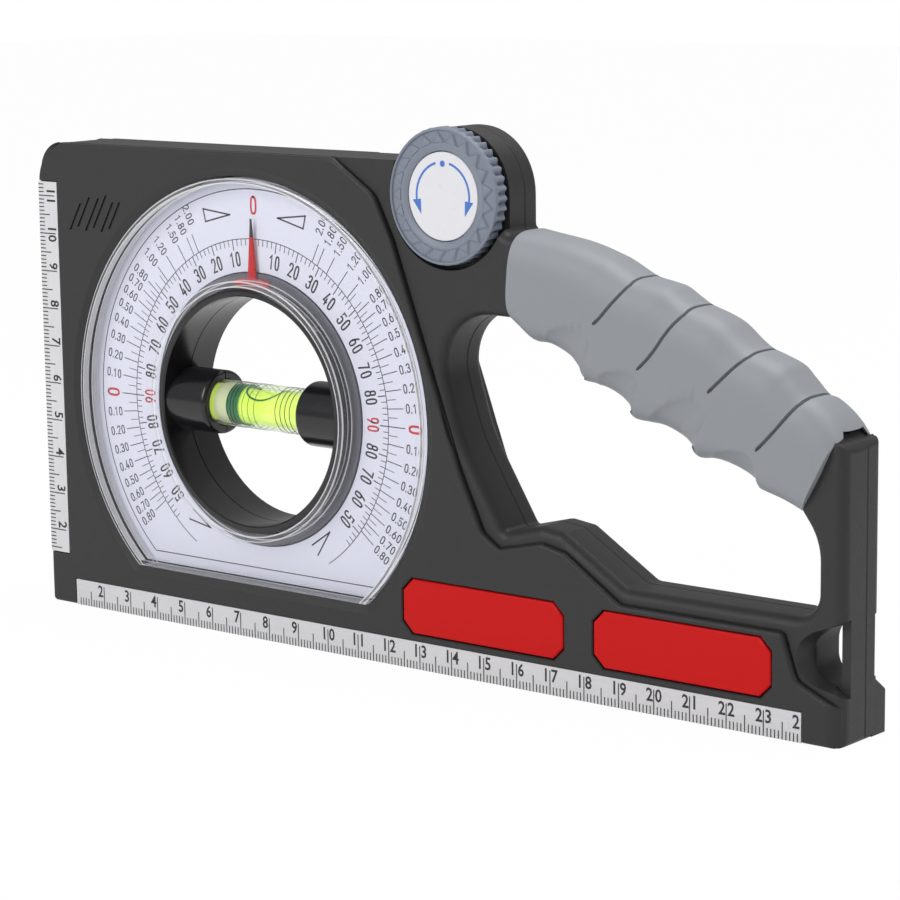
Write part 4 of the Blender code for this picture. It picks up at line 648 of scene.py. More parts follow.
def unit_block():
    """A block one millimetre on each side, centred, to be sized as a printed stroke."""
    builder = bmesh.new()
    bmesh.ops.create_cube(builder, size=MM)
    return built("unit_block", builder)


def ink(name, color):
    """Printing ink: a thin matt coat with slightly uneven cover."""
    made, tree = paint(name)
    cover = tree.noise(2500, 2)
    tree.fill("Base Color", tree.blend(cover, shade(color, 0.8), shade(color, 1.25)))
    tree.fill("Roughness", cover * 0.15 + 0.4)
    return made


black_ink = ink("black_ink", (0.02, 0.02, 0.024))
red_ink = ink("red_ink", (0.62, 0.03, 0.04))
PRINT_LIFT = 0.03


def stroke(middle, turn, width, length):
    """Place of one printed stroke: its middle on a face, its turn, width and length."""
    return middle, turn, (width, 2 * PRINT_LIFT, length)


TICK_WIDTH, TICK_START = 0.28, 0.25


def tick_length(number):
    """Length of the mark of a whole millimetre, longer at each half and whole centimetre."""
    return 5.9 if number % 10 == 0 else 4.0 if number % 5 == 0 else 1.95


ticks = [stroke((number, 0, TICK_START + tick_length(number) / 2), 0, TICK_WIDTH, tick_length(number))
         for number in range(11, 240)]
ticks += [stroke((TICK_START + tick_length(number) / 2, 0, number), math.pi / 2, TICK_WIDTH,
                 tick_length(number)) for number in range(15, 114)]
dress(repeated("ruler_ticks", unit_block(), ticks, black_ink), black_ink, "housing", "print")

glyphs = {}


def glyph(text):
    """Vertices and faces of a printed number, one unit high, centred on its baseline."""
    if text not in glyphs:
        curve = bpy.data.curves.new("number", "FONT")
        curve.body, curve.align_x, curve.resolution_u = text, "CENTER", 2
        curve.extrude, curve.offset = 0.05, 0.018
        item = added("number", curve)
        graph = bpy.context.evaluated_depsgraph_get()
        mesh = bpy.data.meshes.new_from_object(item.evaluated_get(graph))
        bpy.data.objects.remove(item)
        builder = bmesh.new()
        builder.from_mesh(mesh)
        bmesh.ops.remove_doubles(builder, verts=builder.verts, dist=1e-5)
        tall = max(vert.co.y for vert in builder.verts) - min(vert.co.y for vert in builder.verts)
        low = min(vert.co.y for vert in builder.verts)
        builder.verts.index_update()
        glyphs[text] = ([(vert.co.x / tall, (vert.co.y - low) / tall, vert.co.z / 0.05)
                         for vert in builder.verts],
                        [[vert.index for vert in face.verts] for face in builder.faces])
        builder.free()
    return glyphs[text]


def beside_marks(first, last, way):
    """Each digit of the centimetre numbers, with its middle along the ruler."""
    return [(digit, number * 10 + way * shift) for number in range(first, last)
            for digit, shift in zip(str(number), (-1.35,) if number < 10 else (-1.2, 1.3))]


NUMBER_FOOT, NUMBER_HEIGHT, NUMBER_SQUEEZE, RULER_CUT = 3.3, 3.2, 0.9, ("2", 238.6)
base_numbers = [(digit, (reach, NUMBER_FOOT), Vector((0, 1)))
                for digit, reach in beside_marks(2, 24, 1) + [RULER_CUT]]
side_numbers = [(digit, (NUMBER_FOOT, reach), Vector((1, 0)))
                for digit, reach in beside_marks(2, 12, -1)]
verts, faces = [], []
for text, place, up in base_numbers + side_numbers:
    shape, sides = glyph(text)
    faces += [[len(verts) + index for index in side] for side in sides]
    right = Vector((up.y, -up.x))
    for u, v, w in shape:
        spot = Vector(place) + right * u * NUMBER_HEIGHT * NUMBER_SQUEEZE + up * v * NUMBER_HEIGHT
        verts.append(to_frame(spot.x, -w * PRINT_LIFT, spot.y))
mesh = bpy.data.meshes.new("ruler_numbers")
mesh.from_pydata(verts, [], faces)
dress(added("ruler_numbers", mesh), black_ink, "housing", "print")

# Coloured inserts: two glossy red octagonal plates of moulded plastic with eased edges, pressed
# into their beds in the face panel.
red_plastic = moulded("red_plastic", (0.62, 0.006, 0.006), 0.38, 0.6, 0.006, clouds=0.03,
                      specular=0.15)
for side, (start, end) in zip(("left", "right"), INSERTS):
    plate = prism("insert_plate_" + side, [(0.1, 0.5), (0.16, 0.27), (0.3, 0.1), (0.5, 0), (1.3, 0)],
                  lambda inset: octagon(start, end, -inset))
    dress(soften(plate, 50), red_plastic, "housing", "red", "insert_" + side)

# Dial plate: a pale satin sheet cut to the cover's outline, screen-printed in black and red with a
# degree scale inside and a slope scale outside, and laid in the pocket under the clear cover.
PLATE_FACE = 5.4
PRINT_FRONT, PRINT_BACK = PLATE_FACE - PRINT_LIFT, PLATE_FACE + PRINT_LIFT
dial_sheet = prism("dial_sheet", [(PLATE_FACE, 0.4), (6.4, 0.4)], lambda inset: dial_outline(-0.4),
                   DIAL)
carve(dial_sheet, bar("ring_way", RING_WAY, 0, 12, DIAL))
sheet_finish = moulded("dial_sheet_white", (0.82, 0.83, 0.93), 0.42, 0.9, 0.004, clouds=0.012,
                       specular=0.3)
dress(soften(dial_sheet), sheet_finish, "housing", "print", "dial_plate")


def dial_place(angle, radius):
    """A place on the dial: degrees clockwise from the top, and distance from its centre."""
    x, z = polar(angle, radius)
    return DIAL_X + x, DIAL_Z + z


def radial(angle, inner, outer, width):
    """A printed stroke that points at the dial's centre."""
    x, z = dial_place(angle, (inner + outer) / 2)
    return stroke((x, PLATE_FACE, z), math.radians(angle), width, outer - inner)


def arc_line(name, radius, start, end, width):
    """A printed arc about the dial's centre."""
    steps = max(4, int(abs(end - start) / 2))
    rings = []
    for step in range(steps + 1):
        angle = start + (end - start) * step / steps
        inner, outer = dial_place(angle, radius - width / 2), dial_place(angle, radius + width / 2)
        rings.append([(x, depth, z) for (x, z), depth in ((inner, PRINT_FRONT), (outer, PRINT_FRONT),
                                                          (outer, PRINT_BACK), (inner, PRINT_BACK))])
    return loft(name, rings)


def joined(name, *items):
    """Several meshes made one object."""
    builder = bmesh.new()
    for item in items:
        builder.from_mesh(item.data)
        bpy.data.objects.remove(item)
    return built(name, builder)


def bowl(x, z, wide, tall, start, end):
    """Points along a square-shouldered curve, by degrees clockwise from its top."""
    steps = max(6, int(abs(end - start) / 15))
    turns = [math.radians(start + (end - start) * step / steps) for step in range(steps + 1)]
    return [(x + wide * math.copysign(abs(math.sin(turn)) ** 0.72, math.sin(turn)),
             z + tall * math.copysign(abs(math.cos(turn)) ** 0.72, math.cos(turn))) for turn in turns]


DIGITS = {
    "0": [bowl(0.5, 0.5, 0.5, 0.5, 0, 360)], "1": [[(0.14, 0.8), (0.58, 1), (0.58, 0)]],
    "2": [bowl(0.5, 0.72, 0.48, 0.28, -80, 105) + [(0, 0), (1, 0)]],
    "3": [bowl(0.48, 0.76, 0.46, 0.24, -75, 180), bowl(0.48, 0.26, 0.52, 0.26, 0, 260)],
    "4": [[(0.6, 1), (0, 0.25), (1, 0.25)], [(0.74, 0.5), (0.74, 0)]],
    "5": [[(0.92, 1), (0.12, 1), (0.06, 0.55)] + bowl(0.46, 0.31, 0.54, 0.31, -40, 255)],
    "6": [bowl(0.5, 0.31, 0.5, 0.31, 0, 360), [(0.02, 0.36), (0.16, 0.62), (0.62, 1)]],
    "7": [[(0, 1), (1, 1), (0.34, 0)]],
    "8": [bowl(0.5, 0.76, 0.43, 0.24, 0, 360), bowl(0.5, 0.26, 0.5, 0.26, 0, 360)],
    "9": [bowl(0.5, 0.69, 0.5, 0.31, 0, 360), [(0.98, 0.64), (0.84, 0.38), (0.38, 0)]],
    ".": [[(0, 0), (0, 0.06)]]}


def drawn(name, labels):
    """Upright condensed numbers of even strokes: text, middle, up direction, height, weight and
    share of the height that a digit is wide."""
    builder = bmesh.new()
    for text, middle, up, height, weight, share in labels:
        wide, space = height * share, height * share * 0.4 + weight
        widths = [0 if mark == "." else wide for mark in text]
        pen = -(sum(widths) + space * (len(text) - 1)) / 2
        lift = Vector(up).normalized()
        right = Vector((lift.y, -lift.x))
        for mark, width in zip(text, widths):
            for path in DIGITS[mark]:
                ribbon(builder, [Vector(middle) + right * (pen + x * width) +
                                 lift * ((z - 0.5) * (height - weight)) for x, z in path], weight)
            pen += width + space
    return built(name, builder)


def ribbon(builder, spots, width):
    """One printed line of even width through points on the dial plate."""
    rows = []
    for index, spot in enumerate(spots):
        before = (spot - spots[index - 1]).normalized() if index else None
        after = (spots[index + 1] - spot).normalized() if index < len(spots) - 1 else None
        ahead = ((before or after) + (after or before)).normalized()
        bend = ahead.dot(before or after)
        side = Vector((-ahead.y, ahead.x)) * width / 2 / max(bend, 0.6)
        tail = ahead * width / 2 * ((after is None) - (before is None))
        rows.append([builder.verts.new(to_frame(p.x, depth, p.y)) for p, depth in
                     ((spot + tail + side, PRINT_FRONT), (spot + tail - side, PRINT_FRONT),
                      (spot + tail - side, PRINT_BACK), (spot + tail + side, PRINT_BACK))])
    for near, far in zip(rows, rows[1:]):
        for index in range(4):
            after = (index + 1) % 4
            builder.faces.new((near[index], far[index], far[after], near[after]))
    builder.faces.new(rows[0])
    builder.faces.new(list(reversed(rows[-1])))


SLOPES = (2.0, 1.8, 1.5, 1.2, 1.0, 0.8, 0.7, 0.6, 0.5, 0.4, 0.3, 0.2, 0.1)
SLOPE_REACH = 52.1
LABEL_TURN = {2.0: (-1.3, 53.6), 1.8: (0.3, 52.5)}
DEGREE_ARC = 43.6
dial_strokes, dial_numbers, red_numbers = [], [], []
for angle in range(-136, 137, 2):
    long = angle % 10 == 0
    if angle:
        dial_strokes.append(radial(angle, 40.9 if long else 41.9, DEGREE_ARC, 0.26 if long else 0.19))
for angle in range(-130, 131, 10):
    value = abs(angle) if abs(angle) <= 90 else 180 - abs(angle)
    turn = math.radians(angle)
    if value:
        (red_numbers if value == 90 else dial_numbers).append(
            (str(value), dial_place(angle, 38.6), (math.sin(turn), math.cos(turn)), 3.8, 0.46, 0.29))
for side in (-1, 1):
    dial_strokes.append(radial(90 * side, DEGREE_ARC, 49.0, 0.24))
    red_numbers.append(("0", (DIAL_X + side * 52.3, DIAL_Z), (side, 0), 4.5, 0.62, 0.36))
    listed = [(90 - math.degrees(math.atan(slope)), slope) for slope in SLOPES]
    listed += [(90 + math.degrees(math.atan(slope)), slope) for slope in SLOPES[5:]]
    for angle, slope in listed:
        dial_strokes.append(radial(angle * side, DEGREE_ARC, 48.7, 0.22))
        extra, reach = LABEL_TURN.get(slope, (0, SLOPE_REACH)) if angle < 90 else (0, SLOPE_REACH)
        turn = math.radians(angle + extra)
        up = (-side * math.cos(turn), math.sin(turn))
        dial_numbers.append((f"{slope:.2f}", dial_place((angle + extra) * side, reach), up, 2.35, 0.3,
                             0.4))
    for half in range(10):
        slope = half * 0.1 + 0.05
        for way in (-1, 1) if slope < 0.8 else (-1,):
            dial_strokes.append(radial(side * (90 + way * math.degrees(math.atan(slope))), DEGREE_ARC,
                                       46.6, 0.17))
red_numbers.append(("0", (DIAL_X, DIAL_Z + SLOPE_REACH), (0, 1), 4.8, 0.62, 0.34))
signs = []


def sign_line(angle, reach, first, last):
    """One stroke of a plain sign, from points across and outwards at a place on the dial."""
    turn = math.radians(angle)
    across, out = Vector((math.cos(turn), -math.sin(turn))), Vector((math.sin(turn), math.cos(turn)))
    ends = [Vector(dial_place(angle, reach)) + across * x + out * z for x, z in (first, last)]
    run, middle = ends[1] - ends[0], (ends[0] + ends[1]) / 2
    signs.append(stroke((middle.x, PLATE_FACE, middle.y), math.atan2(run.x, run.y), 0.4,
                        run.length + 0.4))


for side in (-1, 1):
    wedge = [(-4.4 * side, -1.6), (4.4 * side, -1.6), (4.4 * side, 1.7)]
    for first, last in zip(wedge, wedge[1:] + wedge[:1]):
        sign_line(14.5 * side, 51.4, first, last)
    corner = [(3.6, 1.5), (-3.4, -1.5), (3.8, -1.5)]
    for first, last in zip(corner, corner[1:]):
        sign_line(146 * side, 38.6, first, last)
BORDER = ((3.1, PRINT_FRONT), (3.35, PRINT_FRONT), (3.35, PRINT_BACK), (3.1, PRINT_BACK))
strokes = repeated("dial_strokes", unit_block(), dial_strokes + signs, black_ink)
border = loft("border", [[(DIAL_X + x, depth, DIAL_Z + z) for x, z in dial_outline(-spread)]
                         for spread, depth in BORDER], closed=True)
dial_marks = joined("dial_marks", strokes, arc_line("degree_arc", DEGREE_ARC, -148, 148, 0.2), border)
dress(dial_marks, black_ink, "housing", "print")
dress(drawn("dial_numbers", dial_numbers), black_ink, "housing", "print")
dress(drawn("dial_red_numbers", red_numbers), red_ink, "housing", "print")


# Clear cover: a polycarbonate moulding with a deep rim, a sunk window, a raised collar round the
# drum and four small snap tabs, clipped over the dial plate.


def clear(name, tint, veil, roughness=0.06, thick=0.0):
    """Clear moulded plastic: light passes straight through, gloss grows towards the edges, the upright
    walls of the dial cover beyond its window are made whiter, and thin rings at its edges are painted
    highlights."""
    made, tree = paint(name)
    tree.fill("Base Color", (*tint, 1))
    tree.fill("Roughness", roughness)
    tree.fill("Specular IOR Level", 1.0)
    facing = tree.node("ShaderNodeLayerWeight", None, {"Blend": 0.5}, "Facing")
    share = facing.math("POWER", facing, 3.0) * 0.7 + veil
    if thick:
        place = tree.node("ShaderNodeTexCoord", output=3)
        middle = to_frame(DIAL_X, 0, DIAL_Z)
        flat = tree.node("ShaderNodeVectorMath", {"operation": "MULTIPLY"}, {0: place, 1: (1, 0, 1)})
        reach = tree.node("ShaderNodeVectorMath", {"operation": "DISTANCE"},
                          {0: flat, 1: (middle[0], 0, middle[2])}, "Value")
        outer_wall = reach.math("GREATER_THAN", reach, (COVER_RADIUS - 1.35) * MM)
        inner_wall = reach.math("LESS_THAN", reach, 34.3 * MM)
        share = share + (outer_wall + inner_wall) * thick
        # Painted highlights: thin rings at the collar and rim edges turn whiter and less clear, as if
        # their bevels caught the lamps.
        for rim in (31.95, 33.2, COVER_RADIUS - 1.3, COVER_RADIUS - 0.35):
            line = reach.math("GREATER_THAN", reach, (rim - 0.15) * MM) * \
                reach.math("LESS_THAN", reach, (rim + 0.15) * MM)
            share = share + line * 0.6
    passed = (*(0.6 + 0.4 * part for part in tint), 1)
    tree.cover(share, tree.node("ShaderNodeBsdfTransparent", None, {"Color": passed}), False)
    return made


clear_plastic = clear("clear_plastic", (0.98, 0.98, 1.0), 0.01, thick=0.03)
cover = prism("dial_cover", [(0, 0.55), (0.1, 0.25), (0.35, 0), (5.1, 0)],
              lambda inset: dial_outline(-inset), DIAL)
carve(cover, prism("cover_front", [(-2, -1.5), (0.0, -1.5), (0.2, -1.3), (1.6, -1.2), (1.8, -1.4)],
                   dial_outline, DIAL),
      prism("cover_back", [(3.0, -1.2), (6, -1.2)], dial_outline, DIAL))
carve(cover, prism("cover_collar", [(0, 0.45), (0.15, 0.15), (0.45, 0), (3.6, 0)], disc(33.4, 200),
                   DIAL), operation="UNION")
carve(cover, bar("cover_step", 34.2, 1.5, 1.85, DIAL, 200), operation="UNION")
for x, z in ((25, 23.4), (25.3, -23.2), (-23.8, 23.6), (-23.6, -24)):
    carve(cover, prism("snap_tab", [(-0.3, 0.35), (-0.1, 0.1), (0.1, 0), (1.6, 0)],
                       disc(0.75, 24), (DIAL_X + x, DIAL_Z + z)), operation="UNION")
carve(cover, bar("cover_way", 31.7, BEFORE, 12, DIAL, 200))
dress(soften(cover, 40), clear_plastic, "housing", "clear", "clear_cover")

# Drum: two halves of glossy black plastic that turn in the case and clamp the vial between half
# sockets, held together by two small screws from behind.
drum_plastic = moulded("drum_plastic", (0.012, 0.012, 0.014), 0.2, 0.5, 0.006, clouds=0.05)


VIAL_DEPTH = CASE_DEPTH / 2


def turned(name, profile, centre, steps=160):
    """A ring turned from (radius, depth) points."""
    return loft(name, [[(centre[0] + r * math.cos(math.tau * step / steps), y,
                         centre[1] + r * math.sin(math.tau * step / steps)) for r, y in profile]
                       for step in range(steps)], closed=True)


def along_vial(name, stations, steps=64):
    """A bar turned about the vial's axis from (place along it, radius) stations."""
    return loft(name, [[(DIAL_X + x, VIAL_DEPTH + r * math.sin(math.tau * step / steps),
                         DIAL_Z + r * math.cos(math.tau * step / steps)) for step in range(steps)]
                       for x, r in stations])


SOCKET = ((15.6, 7.4), (15.75, 7.9), (16.2, 8.25), (16.8, 8.3), (30.4, 8.3))


def drum_piece(name, profile, split):
    """Half the drum with its half sockets, kept on one side of the joint."""
    drum = turned(name, profile, DIAL)
    for sign in (-1, 1):
        socket = along_vial("socket", [(sign * x, r) for x, r in SOCKET])
        carve(socket, block("other_half", (0, split[0], 0), (2 * DIAL_X, split[1], 2 * DIAL_Z)))
        carve(drum, socket, operation="UNION")
    carve(drum, along_vial("vial_way", [(-21, 6.2), (21, 6.2)]))
    return soften(drum, 40)


drum_front = drum_piece("drum_front_half", [(29.4, 1.3), (29.75, 0.97), (30.7, 0.95), (31.15, 1.08),
                                            (31.4, 1.45), (31.4, 8.25), (34.0, 8.25), (34.0, 9.85),
                                            (29.4, 9.85)], (9.85, 30))
drum_rear = drum_piece("drum_rear_half", [(29.4, 10.15), (31.4, 10.15), (31.4, 14.0), (34.0, 14.0),
                                          (34.0, 15.6), (31.4, 15.6), (31.4, 18.9), (31.0, 19.3),
                                          (29.8, 19.3), (29.4, 18.9)], (-10, 10.15))
dress(drum_front, drum_plastic, "rotor", "drum", "drum_front")
dress(drum_rear, drum_plastic, "rotor", "drum", "drum_rear")

# Vial: an acrylic tube of yellow-green spirit with a long bubble at the top, closed by a plug and
# clamped in the sockets. It has black and green rings, a green band and a pale seal; the spirit has a
# painted glow, and a dark green ring of painted shade runs round the bubble's edge.
tube = along_vial("vial_glass", [(-20.7, 5.5), (-20.3, 5.9), (20.3, 5.9), (20.7, 5.5)])
carve(tube, along_vial("tube_bore", [(-19.2, 4.9), (22, 4.9)]))
dress(soften(tube, 40), clear("vial_clear", (0.95, 1.0, 0.9), 0.02, 0.03), "rotor", "clear",
      "vial_tube")
BUBBLE_HALF, BUBBLE_DROP = 6.2, 3.0
spirit = along_vial("vial_spirit", [(-18.9, 4.55), (-18.6, 4.8), (17.1, 4.8), (17.4, 4.55)], 96)
air = loft("air", [[(DIAL_X - 0.5 - BUBBLE_HALF * math.cos(along),
                     VIAL_DEPTH + 4.0 * size * math.cos(turn),
                     DIAL_Z + 4.85 + BUBBLE_DROP * size * math.sin(turn))
                    for turn in (math.tau * step / 48 for step in range(48))]
                   for along in (math.pi * station / 32 for station in range(33))
                   for size in [max(math.sin(along) ** 0.7, 0.03)]])
carve(spirit, air)
soften(spirit, 40)
spirit_painted_glow, tree = paint("vial_spirit")
tree.fill("Roughness", 0.15)
# Painted glow: emission makes the spirit shine yellow-green by itself, in place of the light that it
# gathers.
tree.fill("Emission Color", (0.75, 0.88, 0.2, 1))
tree.fill("Emission Strength", 0.42)
tree.fill("Alpha", 0.72)
tree.fill("Base Color", tree.blend(tree.noise(90, 2), (0.66, 0.84, 0.04, 1), (0.8, 0.95, 0.12, 1)))
dress(spirit, spirit_painted_glow, "rotor", "fluid", "vial_liquid")


def vial_rings(name, places, half, outer):
    """Thin hoops on the vial's glass, at places along it."""
    hoops = joined(name, *(along_vial("hoop", [(place - half, outer - 0.06), (place - half * 0.6, outer),
                                               (place + half * 0.6, outer), (place + half, outer - 0.06)])
                           for place in places))
    return carve(hoops, along_vial("hoop_bore", [(-20, outer - 0.1), (20, outer - 0.1)]))


RING_RADIUS, BAND_RADIUS, BUBBLE_SHADE_RADIUS = 5.94, 5.3, 4.6
dress(vial_rings("vial_rings", (-9.8, -8.7, -7.6, 6.9, 8.6, 10.2, 11.8), 0.1, RING_RADIUS), black_ink,
      "rotor", "drum")
green = moulded("green_plastic", (0.012, 0.2, 0.07), 0.3, 0.5, 0.004)
seal = moulded("vial_seal", (0.72, 0.76, 0.5), 0.3, 0.5, 0.004)
# A dark green ring round the bubble's edge: painted shade, in place of the dark outline that the curved
# liquid surface shows there.
bubble_shade_ring = []
for step in range(96):
    angle = math.tau * step / 96
    lean = 1.05 * math.sin(angle)
    up = Vector((0, -math.sin(lean), math.cos(lean)))
    middle = Vector((DIAL_X - 0.5 + BUBBLE_HALF * math.cos(angle), VIAL_DEPTH, DIAL_Z))
    middle += up * BUBBLE_SHADE_RADIUS
    across = Vector((math.cos(angle), -math.sin(angle) * math.cos(lean),
                     -math.sin(angle) * math.sin(lean)))
    bubble_shade_ring.append([tuple(middle + (across * math.cos(turn) + up * math.sin(turn)) * 0.32)
                     for turn in (math.tau * index / 10 for index in range(10))])
dress(vial_rings("vial_green_rings", (-4.6, -2.6, -0.5), 0.07, RING_RADIUS), green, "rotor")
dress(vial_rings("vial_green_band", (-8.7,), 2.05, BAND_RADIUS), green, "rotor")
dress(vial_rings("vial_seal", (-12.9,), 2.1, BAND_RADIUS), seal, "rotor")
# The ring of painted shade round the bubble, in the green plastic.
dress(loft("vial_meniscus", bubble_shade_ring, closed=True), green, "rotor")
dress(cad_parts["vial_plug"], drum_plastic, "rotor")

# Pointer ring and pointer: a satin grey ring that turns with the drum, and a red faceted pointer
# with a black tip, heat-staked to it; the black tip is partly the pointer's own black end and partly
# painted shade.
ring_finish = moulded("ring_grey", (0.12, 0.12, 0.145), 0.38, 0.4, 0.01)
pointer_ring = turned("pointer_ring_turned", [(31.7, 5.0), (31.9, 4.8), (34.7, 4.8), (35.0, 5.0),
                                              (35.0, 6.0), (31.7, 6.0)], DIAL)
dress(soften(pointer_ring, 40), ring_finish, "rotor", "ring_grey", "pointer_ring")
dress(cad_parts["ring_spacer"], ring_finish, "rotor")


def blade(name, inner, outer, wide, narrow):
    """A stretch of the pointer with a ridge along its middle."""
    return loft(name, [[(DIAL_X - half, 4.5, DIAL_Z + reach), (DIAL_X + half, 4.5, DIAL_Z + reach),
                        (DIAL_X + half * 0.9, 4.15, DIAL_Z + reach), (DIAL_X, 3.9, DIAL_Z + reach),
                        (DIAL_X - half * 0.9, 4.15, DIAL_Z + reach)]
                       for reach, half in ((inner, wide / 2), (outer, narrow / 2))])


pointer = blade("pointer_blade", 33.35, 44.2, 3.0, 1.15)
dress(soften(pointer, 20), red_plastic, "rotor", "red", "pointer")
# The black tip: partly the pointer's own black end, partly painted shade where its end darkens.
dress(soften(blade("pointer_tip", 44.2, 48.8, 1.15, 0.25), 20), black_ink, "rotor", "print")
foot = prism("pointer_foot", [(4.0, 0.3), (4.25, 0), (4.8, 0)],
             lambda inset: [polar(angle, 33.6 - inset) for angle in range(10, -11, -2)] +
             [polar(angle, 31.8 + inset) for angle in range(-10, 11, 2)], DIAL)
dress(soften(foot, 40), red_plastic, "rotor", "red")

# Gear train inside the case: natural nylon gears on steel pins, seen only when it is opened.
nylon = moulded("gear_nylon", (0.72, 0.7, 0.62), 0.4, 0.5, 0.01)
steel = brushed("zinc_steel", (0.55, 0.56, 0.58), 0.3, (900, 900, 900))
for name, body in (("ring_gear", "rotor"), ("idler_gear", "idler"), ("knob_pinion", "knob_set")):
    dress(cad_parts[name], nylon, body)
for name, body in (("idler_pin", "housing"), ("knob_shaft", "knob_set")):
    dress(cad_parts[name], steel, body)


# Knob: a blue-grey moulding with rounded grip teeth round its side and a zigzag of raised facets
# on its face, carrying a sunk glossy label. It is pressed on the steel shaft.
KNOB_TEETH, KNOB_FACETS, KNOB_STEPS = 42, 21, 504


def knob_ring(radius, depth, tooth=0.0, facet=0.0, along=0.0):
    """One ring of the knob's skin, with a share of the tooth and facet relief."""
    ring = []
    for step in range(KNOB_STEPS):
        angle = math.tau * step / KNOB_STEPS
        crest = 0.5 + 0.5 * math.cos(angle * KNOB_TEETH)
        width = abs((angle * KNOB_FACETS / math.tau) % 1 * 2 - 1)
        rise = min(1.0, max(0.0, (1 - along - width) * 3.2)) if facet else 0
        r = radius - tooth * (1 - crest ** 0.55)
        ring.append((KNOB_X + r * math.cos(angle), depth - facet * rise, KNOB_Z + r * math.sin(angle)))
    return ring


INNER_RIM = ((10.75, 1.2), (10.75, 0.1), (10.9, -0.05), (11.9, -0.32), (12.2, -0.4), (12.55, -0.4),
             (12.7, -0.3))
FACETS = [(12.8 + 2.7 * share / 12, 0.1, 0, 0.6, share / 12) for share in range(13)]
OUTER_SIDE = ((15.6, -0.3), (15.75, -0.4), (15.95, -0.38), (16.25, -0.2), (16.38, 0.1, 0.1),
              (16.4, 0.4, 0.3), (16.4, 1.0, 0.5), (16.4, 1.1, 0.7), (16.4, 1.2, 1.0), (16.4, 1.35, 1.3),
              (16.4, 3.7, 1.3), (16.1, 3.95, 0.8), (15.5, 4.0))
knob = loft("knob_moulding", [knob_ring(*ring) for ring in (*INNER_RIM, *FACETS, *OUTER_SIDE)])
carve(knob, bar("shaft_way", 2.8, 1.7, 8, KNOB, 48))
knob_plastic = moulded("knob_plastic", (0.215, 0.24, 0.3), 0.42, 0.3, 0.02, clouds=0.04)
dress(soften(knob, 46), knob_plastic, "knob_set", "knob", "knob")
label = prism("knob_label_disc", [(-0.05, 0.35), (-0.07, 0.3), (-0.03, 0.1), (0.07, 0), (0.9, 0)],
              disc(10.5, 160), KNOB)
label_white = moulded("label_white", (0.8, 0.8, 0.84), 0.3, 0.8, 0.003, clouds=0.01)
dress(soften(label, 50), label_white, "knob_set", "label", "knob_label")
blue_ink = ink("blue_ink", (0.06, 0.19, 0.58))
LABEL_FACE = -0.06


def label_shape(name, outline):
    """A flat printed shape on the knob's label, from points about its centre."""
    return loft(name, [[(KNOB_X + x, depth, KNOB_Z + z) for x, z in outline]
                       for depth in (LABEL_FACE - PRINT_LIFT, LABEL_FACE + PRINT_LIFT)])


ARC_START, ARC_END, ARROW_END = 15, 97, 124
marks = [label_shape("dot", [(x, 7.7 + z) for x, z in circle(0.75, 32)])]
for side in (-1, 1):
    sweep = [side * (ARC_START + (ARC_END - ARC_START) * step / 40) for step in range(41)]
    marks.append(label_shape("arc", [polar(angle, 7.75) for angle in sweep] +
                             [polar(angle, 8.3) for angle in reversed(sweep)]))
    marks.append(label_shape("arrow", [polar(side * ARC_END, 6.8), polar(side * ARC_END, 9.3),
                                       polar(side * ARROW_END, 8.0)]))
dress(joined("knob_label_print", *marks), blue_ink, "knob_set", "label")

# Screws: zinc-plated pan heads with a cross recess, eight for the case, two for the drum and one
# that holds the knob's shaft, all driven from behind.


def pan_head(name, radius, head, length):
    """A screw whose head's seat is at zero depth, with a cross recess in its domed head."""
    dome = [(head * math.cos(angle), head * 0.3 + head * 0.34 * math.sin(angle))
            for angle in (math.pi / 2 * step / 6 for step in range(6))]
    profile = [(0.01, -length), (radius * 0.6, -length), (radius, -length + radius), (radius, 0),
               (head * 0.97, 0), (head, 0.15)] + dome + [(0.01, head * 0.64)]
    screw = loft(name, [[(CASE_LENGTH / 2 + x, CASE_DEPTH / 2 + y, z) for x, z in circle(r, 32)]
                        for r, y in profile])
    for turn in (0.0, math.pi / 2):
        across = Vector((math.cos(turn), math.sin(turn)))
        side = Vector((-across.y, across.x))
        rings = []
        for depth, wide in ((head * 0.12, 0.3), (head * 0.8, 0.62)):
            rings.append([(CASE_LENGTH / 2 + p.x, CASE_DEPTH / 2 + depth, p.y) for p in
                          (across * head * a * wide + side * head * 0.11 * b
                           for a, b in ((-1, -1), (1, -1), (1, 1), (-1, 1)))])
        carve(screw, loft("recess", rings))
    return soften(screw, 40)


places = [((x, 14.2, z), 0.4 * index, (1, 1, 1)) for index, (x, z) in enumerate(CASE_SCREWS)]
case_screws = repeated("case_screws", pan_head("case_screw", 1.25, 2.7, 9.2), places, steel)
dress(case_screws, steel, "housing", "steel", *SCREW_NODES)
places = [((DIAL_X + sign * 25.05, 16.7, DIAL_Z), 0.7, (1, 1, 1)) for sign in (-1, 1)]
drum_screws = repeated("drum_screws", pan_head("drum_screw", 0.9, 1.8, 9.0), places, steel)
dress(drum_screws, steel, "rotor", "steel", "drum_screw_left", "drum_screw_right")
places = [((KNOB_X, 15.5, KNOB_Z), 0.2, (1, 0.7, 1))]
knob_screw = repeated("knob_screw_pan", pan_head("knob_pan", 1.2, 3.6, 5.0), places, steel)
dress(knob_screw, steel, "knob_set", "steel", "knob_screw")

